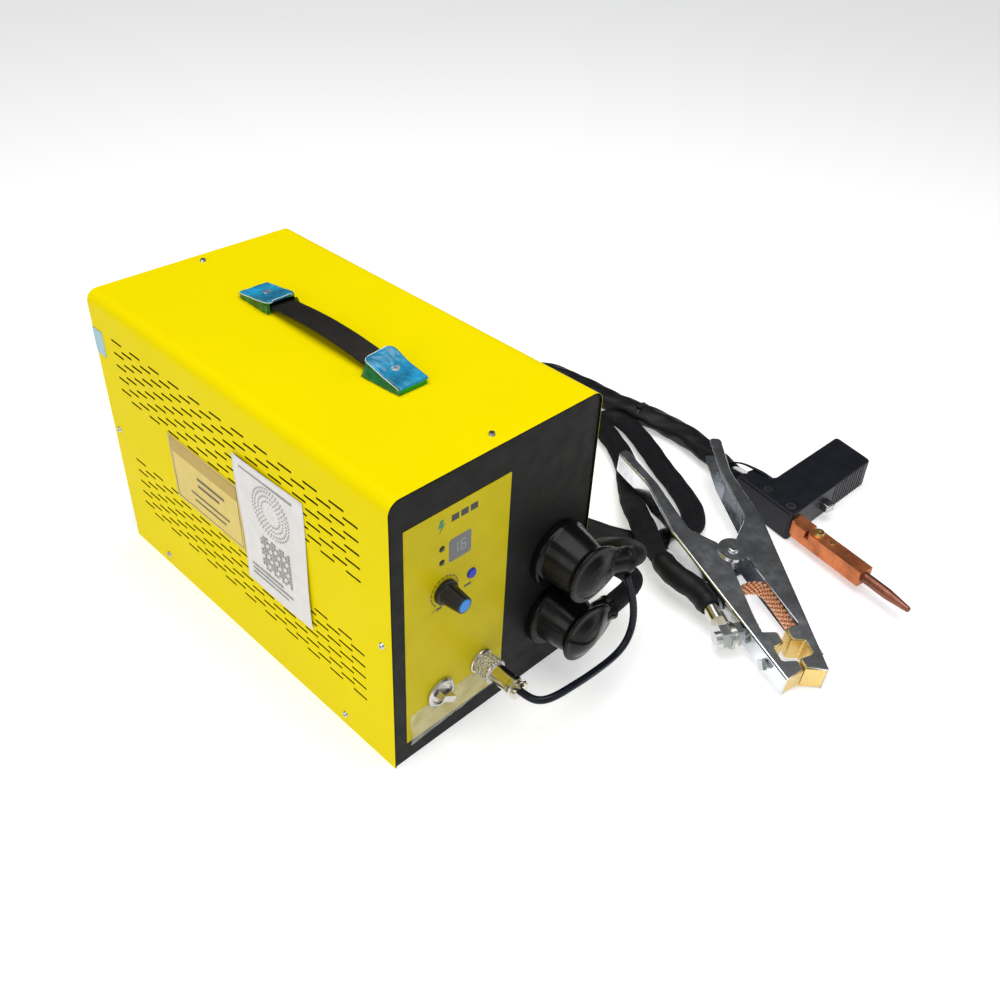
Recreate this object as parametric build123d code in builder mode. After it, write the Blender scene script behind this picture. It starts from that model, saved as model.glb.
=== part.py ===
from build123d import *
import math
import os

os.makedirs("parts", exist_ok=True)

# Handheld battery spot welder: case with handle, gun and earth clamp. Millimetres.
# Origin: middle of the case's footprint, on the floor. The front panel faces -Y, +Z is up.

# ---------------------------------------------------------------- driving dimensions
CASE_W = 200.0
CASE_D = 370.0
CASE_H = 250.0
SHEET = 1.2
COVER_R = 10.0
GAP = 0.3

HALF_W = CASE_W / 2
FRONT_Y = -CASE_D / 2
REAR_Y = CASE_D / 2
INNER_W = HALF_W - SHEET
PANEL_RECESS = 1.0
PANEL_Y = FRONT_Y + PANEL_RECESS
REAR_PANEL_Y = REAR_Y - PANEL_RECESS
FLANGE = 18.0

# vent slots
SLOT_L = 16.0
SLOT_H = 2.0
SLOT_PITCH = 28.0
SLOT_COLS = 11
SLOT_ROWS = 10
SLOT_ROW_PITCH = 5.75
SLOT_TOPS = (219.0, 103.0)
SLOT_SHIFT = 7.0

# cover screws: (y, z) on each side, y on the top
SCREW_R = 1.5
SCREW_HEAD_R = 2.8
SIDE_SCREWS = [(-175.0, 123.0), (175.0, 123.0), (-127.0, 12.0), (127.0, 12.0)]
TOP_SCREW_Y = 173.0

# front panel: places as (x, z)
LABEL_X = (-87.5, 9.5)
LABEL_Z = (18.5, 221.0)
LABEL_T = 0.4
WINDOW_AT = (-37.7, 182.6)
WINDOW_SIZE = (20.5, 19.7)
LED_AT = [(-54.2, 188.8), (-54.2, 176.7)]
LED_R = 2.3
KNOB_AT = (-51.7, 150.0)
KNOB_LEN = 20.0
BUTTON_AT = (-26.2, 151.2)
SWITCH_AT = (-55.0, 51.0)
SOCKET_AT = (-14.0, 55.0)
BOOT_X = 64.5
UPPER_Z = 119.0
LOWER_Z = 57.0
BOOT_BASE_R = 28.5
BOOT_NECK_R = 22.5
BOOT_LEN = 33.0
BOOT_DOME = 10.0
BOOT_WALL = 2.5
STUD_R = 6.0

# handle on the top
HANDLE_X = -1.2
HANDLE_SCREW_Y = 77.0
CAP_OUTER_Y = 97.5
CAP_INNER_Y = 58.0
CAP_W = 26.0
STRAP_W = 21.5
STRAP_T = 3.0
STRAP_ARCH = 5.0
STRAP_END_Y = 66.0
CAP_H = 10.5
CAP_TOE_H = 5.0
SCREW_SEAT_H = 7.0
POST_H = 7.0

# inside the case
CELL_D = 35.0
CELL_H = 82.0
CAP_BANK_Y = 40.0
HEATSINK_Y = -125.0
CHARGER_Y = -85.0

# earth clamp: lies on its side, handles raised on the cables
CLAMP_AT = (260.1, -230.8, 37.8)
CLAMP_HEADING = -119.4
CLAMP_PITCH = 5.0
CLAMP_DEPTH = 25.2
CLAMP_T = 1.5
FOLD_R = 2.0
EAR_R = 14.0
RIVET_R = 3.2
LUG_BOLT_X = 84.0
LUG_BOLT_R = 5.5
JAW_BOLT_X = 118.5
JAW_BOLT_R = 2.5
COIL_R = 7.9
COIL_WIRE_R = 1.1
COIL_PITCH = 2.5
COIL_TURNS = 5
LEG_REACH = 41.0
BRAID_W = 17.6
BRAID_T = 2.4
JAW_WEB_Y = 24.4
NUT_HALF = 9.5
LUG_PLATE_Y = (37.6, 40.0)
LUG_BOLT_END = 54.0

# gun: lies on its side, barrel along its own x, grip along its own y
GUN_AT = (350.0, -237.7, 0.0)
GUN_HEADING = -102.0
GUN_T = 32.0
GUN_SPLIT = 16.0
GRIP_RAKE = 10.5
GRIP_L = 142.5
BARREL_W = 27.6
BARREL_REAR_W = 24.5
BARREL_BACK = -76.0
TRIGGER_TRAVEL = 1.5
GRIP_W = 48.6
GUN_WALL = 2.4
GUN_ROUND = 2.5
GROOVES = [78.0 + 5.2 * i for i in range(11)]
GROOVE_OUT = 0.7
GROOVE_R = 1.7
CABLE_IN = (12.5, 16.0)
BAR_Y = (0.5, 16.5)
BAR_NECK_Y = 3.0
BAR_Z = (9.0, 25.0)
BAR_MID_Z = 17.0
LAP_X = (18.0, 55.0)
LAP_Z = 18.0
HOLDER_END = 86.0
BAR_SCREW = (26.6, 9.9)
SET_SCREW = (43.2, 10.4)
GUN_SCREWS = ((-42.9, 10.5), (-12.2, 10.6))
GUN_SCREW_HEAD_R = 5.8
GUN_SCREW_R = 2.2
PIN_YZ = (8.5, 17.0)
PIN_R = 5.2
PIN_BACK = 66.0
PIN_TAPER = 112.0
PIN_END = 137.0
TRIGGER_AT = 59.4
TRIGGER_W = 12.0
TRIGGER_H = 8.5
TRIGGER_X = (-17.0, -1.2)

# cables
GUN_CABLE_D = 22.0
CLAMP_CABLE_D = 17.0
LEAD_D = 6.0

# cable routes, hand-chosen points: from the boots or the plug to the far ends
LEAD_ROUTE = [
    (-14, -228.5, 55), (-14, -238, 55), (-9, -246, 56), (2, -249.5, 56), (19, -250, 54), (38, -249, 49.5),
    (57, -246.5, 44), (74, -244.5, 40.5), (87.5, -243, 41), (96.5, -241.5, 46), (101.5, -240, 55), (103, -238.5, 66),
    (102.5, -236.5, 78), (101, -233.5, 90), (98.5, -229.3, 102.4)]
CLAMP_ROUTE = [
    (100, -217, 60), (114, -215.8, 61.2), (129, -214.5, 60.5), (141, -208.5, 58.5), (147.5, -200, 55.5),
    (150, -184, 52), (151, -163, 45), (153, -135, 33), (155, -105, 19.5), (157, -78, 10.5), (159, -50, 8.5),
    (163, -24, 8.5), (172, -5, 8.5), (187, -3, 8.5), (198.5, -16, 8.5), (204, -38, 8.5), (208, -68, 8.5),
    (214, -102, 8.5), (225, -132, 8.5), (241, -153, 8.5), (261, -165, 8.5), (281, -168.5, 8.5),
    (300, -163.5, 8.5), (316, -147, 8.5), (330.5, -121, 8.5), (343.5, -93, 8.5), (358, -66, 8.5),
    (371, -42, 8.5), (380.5, -19, 8.5), (385, -2, 8.5), (382, 10, 8.5), (371, 14.5, 8.5), (360, 8, 8.5),
    (352, -8, 8.5), (340, -34, 8.5), (322, -60, 8.6), (300, -81, 9.5), (279, -100, 13.5), (259, -119, 21),
    (242, -140, 26.5), (225, -163, 28), (211, -186, 27), (204, -212, 25), (206.5, -238.3, 22.9),
    (197.7, -253.9, 21.3)]
GUN_ROUTE = [
    (104, -225, 113.5), (112, -226, 112.4), (118.5, -222, 110.3), (122, -212.5, 106.5), (122.5, -200, 99.5), (122, -186, 89.5),
    (121, -168, 75), (120, -140, 53), (120, -108, 31), (121, -72, 16.5), (124, -32, 12), (131, 8, 12),
    (150, 43, 12), (185, 67, 12), (227, 83, 12), (270, 104, 12), (308, 129, 12), (342, 145, 12), (372, 142, 12),
    (393, 122, 12), (401, 91, 12), (401, 55, 11), (404, 18, 11), (410, -18, 11), (413, -50, 11),
    (409, -82, 11), (400, -112, 12), (390, -139, 13.5), (378, -166, 16)]

# fits inside the case
PLAY = 0.1
TRAY_HALF = INNER_W - PLAY
TRAY_TOP = CASE_H - SHEET - PLAY
BASE_FLANGE = 22.0

# front panel holes
BUSHING_R = 3.5
BUTTON_R = 3.9
SWITCH_NECK_R = 11.0
SOCKET_R = 8.0
INSULATOR_R = 10.0

# turned fits
SHAFT_R = 3.0
SHAFT_END = 14.0
RUN_FIT = 0.06
SWITCH_ROTOR_R = 8.5
LEVER_REST = -35.0
THREAD_R = 8.0
PLUG_R = 7.6
LEAD_START = 43.5

# terminal boots: the mouths are where the cables leave them
EXIT_DEPTH = 35.0
EXIT_R = 9.5
UPPER_MOUTH = (104.0, -225.0, 113.5)
LOWER_MOUTH = (100.0, -217.0, 60.0)
STUD_END = 26.0
LUG_FRONT = 12.0
LUG_T = 4.0

# rear panel, places as (x, z) seen from behind
FAN_AT = (0.0, 150.0)
FAN_SIZE = 92.0
FAN_HOLES = 82.5
FAN_DEPTH = 25.0
FAN_HUB_R = 17.0
FAN_BLADES = 7
INLET_AT = (0.0, 50.0)
INLET_BODY = (27.0, 20.0)


def front_plane(y):
    """A plane facing -Y at this y: its local x is +X and its local y is +Z."""
    return Plane(origin=(0, y, 0), x_dir=(1, 0, 0), z_dir=(0, -1, 0))


def front_plane_at(at, y):
    """The same plane with its origin at the panel place at = (x, z)."""
    return Plane(origin=(at[0], y, at[1]), x_dir=(1, 0, 0), z_dir=(0, -1, 0))


def rear_plane_at(at, y):
    """A plane facing +Y, with its origin at the panel place at = (x, z)."""
    return Plane(origin=(at[0], y, at[1]), x_dir=(-1, 0, 0), z_dir=(0, 1, 0))


def slot_places():
    """Centres (y, z) of the vent slots: alternate rows are shifted by half a pitch."""
    places = []
    for top in SLOT_TOPS:
        for row in range(SLOT_ROWS):
            shift = SLOT_SHIFT if row % 2 == 0 else -SLOT_SHIFT
            for col in range(SLOT_COLS):
                y = (col - (SLOT_COLS - 1) / 2) * SLOT_PITCH + shift
                places.append((y, top - row * SLOT_ROW_PITCH))
    return places


def arch(half, top, radius, bottom):
    """The case's section: round top corners and square bottom ones."""
    with BuildSketch() as section:
        with BuildLine():
            legs = FilletPolyline((-half, bottom), (-half, top), (half, top), (half, bottom), radius=radius)
            Line(legs @ 1, legs @ 0)
        make_face()
    return section.sketch


def screws(planes, head_r, head_h, shank_r, shank_l):
    """Cross-head screws, one on each plane, with their heads outwards."""
    with BuildPart() as group:
        with BuildSketch(*planes):
            Circle(shank_r)
        extrude(amount=-shank_l)
        with BuildSketch(*planes):
            Circle(head_r)
        extrude(amount=head_h, taper=22)
        with BuildSketch(*[plane.offset(head_h) for plane in planes]):
            Rectangle(1.1 * head_r, 0.25 * head_r)
            Rectangle(0.25 * head_r, 1.1 * head_r)
        extrude(amount=-0.5 * head_h, mode=Mode.SUBTRACT)
    return group


def profile_plane(at):
    """Plane for turned profiles about the line through (x, z) = at: local x is out of the panel."""
    return Plane(origin=(at[0], FRONT_Y, at[1]), x_dir=(0, -1, 0), z_dir=(-1, 0, 0))


def turned(at, stations, bores=()):
    """A turned piece about the line through (x, z) = at.

    stations are (distance in front, radius) and bores are (from, to, radius)."""
    with BuildPart() as piece:
        with BuildSketch(profile_plane(at)):
            with BuildLine():
                outline = Polyline((stations[0][0], 0), *stations, (stations[-1][0], 0))
                Line(outline @ 1, outline @ 0)
            make_face()
        revolve(axis=Axis((at[0], 0, at[1]), (0, -1, 0)))
        for start, end, radius in bores:
            with BuildSketch(front_plane_at(at, FRONT_Y - start)):
                Circle(radius)
            extrude(amount=end - start, mode=Mode.SUBTRACT)
    return piece


# ---------------------------------------------------------------- case
side_screw_planes = []
for screw_y, screw_z in SIDE_SCREWS:
    for side in (-1, 1):
        side_screw_planes.append(Plane(origin=(side * HALF_W, screw_y, screw_z), z_dir=(side, 0, 0)))
top_screw_planes = [Plane(origin=(0, y, CASE_H), z_dir=(0, 0, 1)) for y in (-TOP_SCREW_Y, TOP_SCREW_Y)]
cover_screw_planes = side_screw_planes + top_screw_planes
handle_screw_planes = [
    Plane(origin=(HANDLE_X, y, CASE_H), z_dir=(0, 0, 1)) for y in (-HANDLE_SCREW_Y, HANDLE_SCREW_Y)
]

with BuildPart() as cover:
    with BuildSketch(front_plane(FRONT_Y)):
        add(arch(HALF_W, CASE_H, COVER_R, 0))
    extrude(amount=-CASE_D)
    with BuildSketch(front_plane(FRONT_Y)):
        add(arch(INNER_W, CASE_H - SHEET, COVER_R - SHEET, 0))
    extrude(amount=-CASE_D, mode=Mode.SUBTRACT)
    with BuildSketch(Plane.YZ.offset(-CASE_W)):
        with Locations(*slot_places()):
            SlotOverall(SLOT_L, SLOT_H)
    extrude(amount=2 * CASE_W, mode=Mode.SUBTRACT)
    with BuildSketch(*cover_screw_planes, *handle_screw_planes):
        Circle(SCREW_R)
    extrude(amount=-2 * SHEET, mode=Mode.SUBTRACT)
cover.part.label = "cover_shell"
export_step(cover.part, "parts/cover_shell.step")

with BuildPart() as base:
    with BuildSketch(Plane.XY):
        Rectangle(2 * TRAY_HALF, 2 * abs(PANEL_Y))
    extrude(amount=SHEET)
    with BuildSketch(Plane.XY.offset(SHEET)):
        with Locations((-TRAY_HALF + SHEET / 2, 0), (TRAY_HALF - SHEET / 2, 0)):
            Rectangle(SHEET, 2 * (abs(PANEL_Y) - SHEET - GAP))
    extrude(amount=BASE_FLANGE)
    with BuildSketch(*side_screw_planes):
        Circle(SCREW_R)
    extrude(amount=-4 * SHEET, mode=Mode.SUBTRACT)
base.part.label = "base_plate"
export_step(base.part, "parts/base_plate.step")


def end_panel(plane, openings):
    """An end panel: a plate with returned edges, open at the bottom, cut by the openings sketch."""
    with BuildPart() as panel:
        with BuildSketch(plane):
            add(arch(TRAY_HALF, TRAY_TOP, COVER_R - SHEET - PLAY, SHEET))
        extrude(amount=-FLANGE)
        with BuildSketch(plane.offset(-SHEET)):
            add(arch(TRAY_HALF - SHEET, TRAY_TOP - SHEET, COVER_R - 2 * SHEET - PLAY, 0))
        extrude(amount=-FLANGE, mode=Mode.SUBTRACT)
        with BuildSketch(plane.offset(-SHEET)):
            with Locations((0, BASE_FLANGE / 2 + 2)):
                Rectangle(CASE_W, BASE_FLANGE + 4)
        extrude(amount=-FLANGE, mode=Mode.SUBTRACT)
        with BuildSketch(plane):
            add(openings)
        extrude(amount=-SHEET, mode=Mode.SUBTRACT)
        with BuildSketch(*cover_screw_planes):
            Circle(SCREW_R)
        extrude(amount=-4 * SHEET, mode=Mode.SUBTRACT)
    return panel


with BuildSketch() as front_openings:
    with Locations(*LED_AT):
        Circle(LED_R + 0.2)
    with Locations(WINDOW_AT):
        Rectangle(*WINDOW_SIZE)
    with Locations(KNOB_AT):
        Circle(BUSHING_R + 0.1)
    with Locations(BUTTON_AT):
        Circle(BUTTON_R + 0.4)
    with Locations(SWITCH_AT):
        Circle(SWITCH_NECK_R)
    with Locations(SOCKET_AT):
        Circle(SOCKET_R)
    with Locations((BOOT_X, UPPER_Z), (BOOT_X, LOWER_Z)):
        Circle(INSULATOR_R)

front_panel = end_panel(front_plane(PANEL_Y), front_openings.sketch)
front_panel.part.label = "front_panel"
export_step(front_panel.part, "parts/front_panel.step")

fan_plane = rear_plane_at(FAN_AT, REAR_PANEL_Y)
inlet_plane = rear_plane_at(INLET_AT, REAR_PANEL_Y)
with BuildSketch() as rear_openings:
    with Locations(FAN_AT):
        Circle(FAN_SIZE / 2 - 3)
        with GridLocations(FAN_HOLES, FAN_HOLES, 2, 2):
            Circle(SCREW_R)
    with Locations(INLET_AT):
        Rectangle(*INLET_BODY)

rear_panel = end_panel(rear_plane_at((0, 0), REAR_PANEL_Y), rear_openings.sketch)
rear_panel.part.label = "rear_panel"
export_step(rear_panel.part, "parts/rear_panel.step")

cover_screws = screws(cover_screw_planes, SCREW_HEAD_R, 1.8, SCREW_R, 6)
cover_screws.part.label = "cover_screws"
export_step(cover_screws.part, "parts/cover_screws.step")

# ---------------------------------------------------------------- rear: fan and mains inlet
with BuildPart() as fan_frame:
    with BuildSketch(fan_plane.offset(-SHEET)):
        RectangleRounded(FAN_SIZE, FAN_SIZE, 4)
        Circle(FAN_SIZE / 2 - 3, mode=Mode.SUBTRACT)
        with GridLocations(FAN_HOLES, FAN_HOLES, 2, 2):
            Circle(SCREW_R, mode=Mode.SUBTRACT)
    extrude(amount=-FAN_DEPTH)
    with BuildSketch(fan_plane.offset(-SHEET - FAN_DEPTH + 4)):
        Rectangle(FAN_SIZE - 4, 5)
        Rectangle(5, FAN_SIZE - 4)
        Circle(FAN_HUB_R)
    extrude(amount=-4)
    with BuildSketch(fan_plane.offset(-SHEET - FAN_DEPTH + 4)):
        Circle(3)
    extrude(amount=FAN_DEPTH - 9)
fan_frame.part.label = "fan_frame"
export_step(fan_frame.part, "parts/fan_frame.step")

with BuildPart() as fan_rotor:
    with BuildSketch(fan_plane.offset(-SHEET - FAN_DEPTH + 5)):
        Circle(FAN_HUB_R)
    extrude(amount=FAN_DEPTH - 7)
    with BuildSketch(fan_plane.offset(-SHEET - FAN_DEPTH + 6)):
        with PolarLocations(0, FAN_BLADES):
            with Locations((FAN_SIZE / 4, 2)):
                Rectangle(FAN_SIZE / 2 - 7, 2.4, rotation=14)
    extrude(amount=FAN_DEPTH - 10)
    with BuildSketch(fan_plane.offset(-SHEET - FAN_DEPTH + 5)):
        Circle(3.05)
    extrude(amount=FAN_DEPTH - 9, mode=Mode.SUBTRACT)
fan_rotor.part.label = "fan_rotor"
export_step(fan_rotor.part, "parts/fan_rotor.step")

with BuildPart() as fan_guard:
    with BuildSketch(fan_plane):
        for ring in range(4):
            radius = 12 + ring * 10.5
            Circle(radius)
            Circle(radius - 1.6, mode=Mode.SUBTRACT)
        Rectangle(FAN_HOLES * math.sqrt(2), 1.6, rotation=45)
        Rectangle(FAN_HOLES * math.sqrt(2), 1.6, rotation=-45)
        with GridLocations(FAN_HOLES, FAN_HOLES, 2, 2):
            Circle(3.5)
    extrude(amount=1.6)
    with BuildSketch(fan_plane):
        with GridLocations(FAN_HOLES, FAN_HOLES, 2, 2):
            Circle(SCREW_R)
    extrude(amount=-SHEET - 4)
fan_guard.part.label = "fan_guard"
export_step(fan_guard.part, "parts/fan_guard.step")

with BuildPart() as power_inlet:
    with BuildSketch(inlet_plane):
        RectangleRounded(INLET_BODY[0] + 20, INLET_BODY[1] + 4, 3)
    extrude(amount=2)
    with BuildSketch(inlet_plane):
        Rectangle(*INLET_BODY)
    extrude(amount=-22)
    with BuildSketch(inlet_plane.offset(2)):
        Rectangle(INLET_BODY[0] - 3, INLET_BODY[1] - 3)
    extrude(amount=-18, mode=Mode.SUBTRACT)
    with BuildSketch(inlet_plane.offset(-16)):
        with Locations((-7, -2), (0, 3), (7, -2)):
            Rectangle(2, 4)
    extrude(amount=13)
power_inlet.part.label = "power_inlet"
export_step(power_inlet.part, "parts/power_inlet.step")

# ---------------------------------------------------------------- front controls
label_centre = ((LABEL_X[0] + LABEL_X[1]) / 2, (LABEL_Z[0] + LABEL_Z[1]) / 2)
label_size = (LABEL_X[1] - LABEL_X[0], LABEL_Z[1] - LABEL_Z[0])
with BuildPart() as label:
    with BuildSketch(front_plane(PANEL_Y)):
        with Locations(label_centre):
            Rectangle(*label_size)
        with Locations(*LED_AT):
            Circle(LED_R + 0.2, mode=Mode.SUBTRACT)
        with Locations(WINDOW_AT):
            RectangleRounded(*WINDOW_SIZE, 2.5, mode=Mode.SUBTRACT)
        with Locations(KNOB_AT):
            Circle(BUSHING_R + 0.1, mode=Mode.SUBTRACT)
        with Locations(BUTTON_AT):
            Circle(BUTTON_R + 0.4, mode=Mode.SUBTRACT)
        with Locations(SWITCH_AT):
            Circle(SWITCH_NECK_R, mode=Mode.SUBTRACT)
        with Locations(SOCKET_AT):
            Circle(SOCKET_R, mode=Mode.SUBTRACT)
    extrude(amount=LABEL_T)
label.part.label = "control_label"
export_step(label.part, "parts/control_label.step")

with BuildPart() as window:
    with BuildSketch(front_plane_at(WINDOW_AT, PANEL_Y)):
        RectangleRounded(*WINDOW_SIZE, 2.5)
    extrude(amount=LABEL_T + 0.1)
window.part.label = "display_window"
export_step(window.part, "parts/display_window.step")

with BuildPart() as display:
    with BuildSketch(front_plane_at(WINDOW_AT, PANEL_Y + SHEET)):
        Rectangle(WINDOW_SIZE[0] + 5, WINDOW_SIZE[1] + 5)
    extrude(amount=-9)
    with BuildSketch(front_plane_at(WINDOW_AT, PANEL_Y + SHEET)):
        Rectangle(WINDOW_SIZE[0] - 0.6, WINDOW_SIZE[1] - 0.6)
    extrude(amount=SHEET - 0.1)
display.part.label = "display_module"
export_step(display.part, "parts/display_module.step")

lamp_stations = [(-9, LED_R - 0.1), (-0.4, LED_R - 0.1), (0.3, LED_R - 0.8), (0.5, LED_R - 1.6)]
with BuildPart() as lamps:
    for lamp_at in LED_AT:
        with BuildSketch(profile_plane(lamp_at)):
            with BuildLine():
                lamp_line = Polyline((-9, 0), *lamp_stations, (0.5, 0))
                Line(lamp_line @ 1, lamp_line @ 0)
            make_face()
        revolve(axis=Axis((lamp_at[0], 0, lamp_at[1]), (0, -1, 0)))
lamps.part.label = "status_lamps"
export_step(lamps.part, "parts/status_lamps.step")

with BuildPart() as knob:
    with BuildSketch(profile_plane(KNOB_AT)):
        with BuildLine():
            knob_line = FilletPolyline(
                (0.2, 0), (0.2, 10), (2.8, 10), (3.4, 8.2), (KNOB_LEN, 6.4), (KNOB_LEN, 0),
                radius=[0.3, 0.5, 1.0, 0.8])
            Line(knob_line @ 1, knob_line @ 0)
        make_face()
    revolve(axis=Axis((KNOB_AT[0], 0, KNOB_AT[1]), (0, -1, 0)))
    with BuildSketch(front_plane_at(KNOB_AT, FRONT_Y)):
        with PolarLocations(10.2, 30):
            Circle(0.45)
    extrude(amount=2.4, mode=Mode.SUBTRACT)
    with BuildSketch(front_plane_at(KNOB_AT, FRONT_Y - KNOB_LEN)):
        Circle(5.2)
    extrude(amount=-1.2, mode=Mode.SUBTRACT)
    with BuildSketch(front_plane_at(KNOB_AT, FRONT_Y - KNOB_LEN)):
        with Locations((0, 7.6)):
            Rectangle(0.9, 3.4)
    extrude(amount=-KNOB_LEN + 3.6, mode=Mode.SUBTRACT)
    with BuildSketch(front_plane_at(KNOB_AT, FRONT_Y)):
        Circle(7.2)
    extrude(amount=3, mode=Mode.SUBTRACT)
    with BuildSketch(front_plane_at(KNOB_AT, FRONT_Y - SHAFT_END)):
        Circle(SHAFT_R)
    extrude(amount=-(SHAFT_END + 12))
knob.part.label = "energy_knob"
export_step(knob.part, "parts/energy_knob.step")

knob_cap = turned(KNOB_AT, [(KNOB_LEN - 1.2, 5.1), (KNOB_LEN + 0.1, 5.1), (KNOB_LEN + 0.5, 4.4)])
knob_cap.part.label = "knob_cap"
export_step(knob_cap.part, "parts/knob_cap.step")


pot_stations = [
    (-18, 12), (-6, 12), (-6, BUSHING_R), (-0.6, BUSHING_R),
    (-0.6, 5.4), (1.0, 5.4), (1.0, BUSHING_R), (2.4, BUSHING_R)]
potentiometer = turned(KNOB_AT, pot_stations, [(-13, 3, SHAFT_R + RUN_FIT)])
potentiometer.part.label = "potentiometer"
export_step(potentiometer.part, "parts/potentiometer.step")

button_stations = [
    (-6.2, 1.5), (-4, 1.5), (-4, 4.7), (-3.2, 4.7), (-3.2, BUTTON_R), (0.7, BUTTON_R), (1.2, BUTTON_R - 0.7)]
button = turned(BUTTON_AT, button_stations)
button.part.label = "mode_button"
export_step(button.part, "parts/mode_button.step")

with BuildPart() as button_switch:
    with BuildSketch(front_plane_at(BUTTON_AT, FRONT_Y + 12)):
        Rectangle(12, 12)
    extrude(amount=3.8)
    with BuildSketch(front_plane_at(BUTTON_AT, FRONT_Y + 12)):
        Circle(2)
    extrude(amount=4.8)
button_switch.part.label = "button_switch"
export_step(button_switch.part, "parts/button_switch.step")

bezel_stations = [
    (-18, SWITCH_NECK_R - 0.1), (-6, SWITCH_NECK_R - 0.1), (-6, 14), (-2.3, 14),
    (-2.3, SWITCH_NECK_R - 0.1), (-0.6, SWITCH_NECK_R - 0.1), (-0.6, 12.6), (1.4, 12.6), (2.6, 11.2)]
bezel = turned(SWITCH_AT, bezel_stations, [(-12, 3, SWITCH_ROTOR_R + RUN_FIT), (0.4, 3, 10)])
bezel.part.label = "switch_bezel"
export_step(bezel.part, "parts/switch_bezel.step")

with BuildPart() as lever:
    with BuildSketch(front_plane_at(SWITCH_AT, FRONT_Y + 11)):
        Circle(SWITCH_ROTOR_R)
    extrude(amount=12)
    with BuildSketch(front_plane_at(SWITCH_AT, FRONT_Y - 1)):
        RectangleRounded(15.5, 6.5, 1.2, rotation=LEVER_REST)
    extrude(amount=9, taper=5)
lever.part.label = "switch_lever"
export_step(lever.part, "parts/switch_lever.step")

switch_body = turned(SWITCH_AT, [(-44, 10.5), (-18, 10.5)])
switch_body.part.label = "switch_body"
export_step(switch_body.part, "parts/switch_body.step")

# ---------------------------------------------------------------- aviation connector and its lead
socket_stations = [
    (-14, SOCKET_R - 0.1), (-5.5, SOCKET_R - 0.1), (-5.5, 10.5), (-2.3, 10.5), (-2.3, SOCKET_R - 0.1),
    (-0.6, SOCKET_R - 0.1), (-0.6, 10.8), (1.4, 10.8), (2.0, 10.2), (2.0, THREAD_R), (13.2, THREAD_R)]
socket = turned(SOCKET_AT, socket_stations, [(2.0, 13.4, 6.8)])
socket.part.label = "aviation_socket"
export_step(socket.part, "parts/aviation_socket.step")

ring_stations = [(3.2, 9.2), (3.8, 9.7), (14.6, 9.7), (15.2, 10.1), (16.4, 10.1), (17.0, 9.4)]
ring = turned(SOCKET_AT, ring_stations, [(3, 14.4, THREAD_R + RUN_FIT), (14, 18, PLUG_R + RUN_FIT)])
with BuildPart() as coupling_ring:
    add(ring.part)
    with BuildSketch(front_plane_at(SOCKET_AT, FRONT_Y - 4.2)):
        with PolarLocations(9.85, 36):
            Circle(0.42)
    extrude(amount=9.6, mode=Mode.SUBTRACT)
coupling_ring.part.label = "coupling_ring"
export_step(coupling_ring.part, "parts/coupling_ring.step")

plug_stations = [
    (9.8, 6.7), (13.9, 6.7), (13.9, PLUG_R), (33.4, PLUG_R), (33.8, PLUG_R - 0.4),
    (34.2, PLUG_R - 0.4), (34.2, 8.1), (37.4, 8.1), (38, 7.5)]
plug = turned(SOCKET_AT, plug_stations)
plug.part.label = "aviation_plug"
export_step(plug.part, "parts/aviation_plug.step")

clamp_screw_planes = [
    Plane(origin=(SOCKET_AT[0] + side * 5.3, FRONT_Y - 41.7, SOCKET_AT[1] + 4.2), z_dir=(0, 0, 1))
    for side in (-1, 1)]
with BuildPart() as plug_clamp:
    with BuildSketch(front_plane_at(SOCKET_AT, FRONT_Y - 38)):
        Circle(6.6)
    extrude(amount=2)
    with BuildSketch(front_plane_at(SOCKET_AT, FRONT_Y - 40)):
        RectangleRounded(15.4, 8.4, 2.2)
        Circle(4.6)
    extrude(amount=LEAD_START - 40)
    with BuildSketch(*clamp_screw_planes):
        Circle(1.6)
    extrude(amount=1.3, taper=20)
plug_clamp.part.label = "plug_clamp"
export_step(plug_clamp.part, "parts/plug_clamp.step")

# ---------------------------------------------------------------- output terminals and boots
with BuildPart() as insulators:
    for terminal_z in (UPPER_Z, LOWER_Z):
        terminal_at = (BOOT_X, terminal_z)
        with BuildSketch(front_plane_at(terminal_at, PANEL_Y + SHEET)):
            Circle(INSULATOR_R + 6)
            Circle(STUD_R, mode=Mode.SUBTRACT)
        extrude(amount=-6)
        with BuildSketch(front_plane_at(terminal_at, PANEL_Y + SHEET)):
            Circle(INSULATOR_R - 0.1)
            Circle(STUD_R, mode=Mode.SUBTRACT)
        extrude(amount=SHEET)
        with BuildSketch(front_plane_at(terminal_at, PANEL_Y)):
            Circle(INSULATOR_R + 5)
            Circle(STUD_R, mode=Mode.SUBTRACT)
        extrude(amount=4)
insulators.part.label = "terminal_insulators"
export_step(insulators.part, "parts/terminal_insulators.step")

with BuildPart() as studs:
    for terminal_z in (UPPER_Z, LOWER_Z):
        with BuildSketch(front_plane_at((BOOT_X, terminal_z), FRONT_Y + 40)):
            Circle(STUD_R)
        extrude(amount=40 + STUD_END)
        with BuildSketch(front_plane_at((BOOT_X, terminal_z), FRONT_Y - LUG_FRONT)):
            RegularPolygon(9.5, 6)
        extrude(amount=8)
        with BuildSketch(front_plane_at((BOOT_X, terminal_z), FRONT_Y + 9)):
            RegularPolygon(9.5, 6)
        extrude(amount=-6)
studs.part.label = "output_terminals"
export_step(studs.part, "parts/output_terminals.step")


def exit_plane(terminal_z, mouth):
    """Plane at the middle of a boot's head, facing its cable mouth, and the distance to the mouth."""
    start = Vector(BOOT_X, FRONT_Y - EXIT_DEPTH, terminal_z)
    run = Vector(*mouth) - start
    return Plane(origin=start, z_dir=run), run.length


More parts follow.
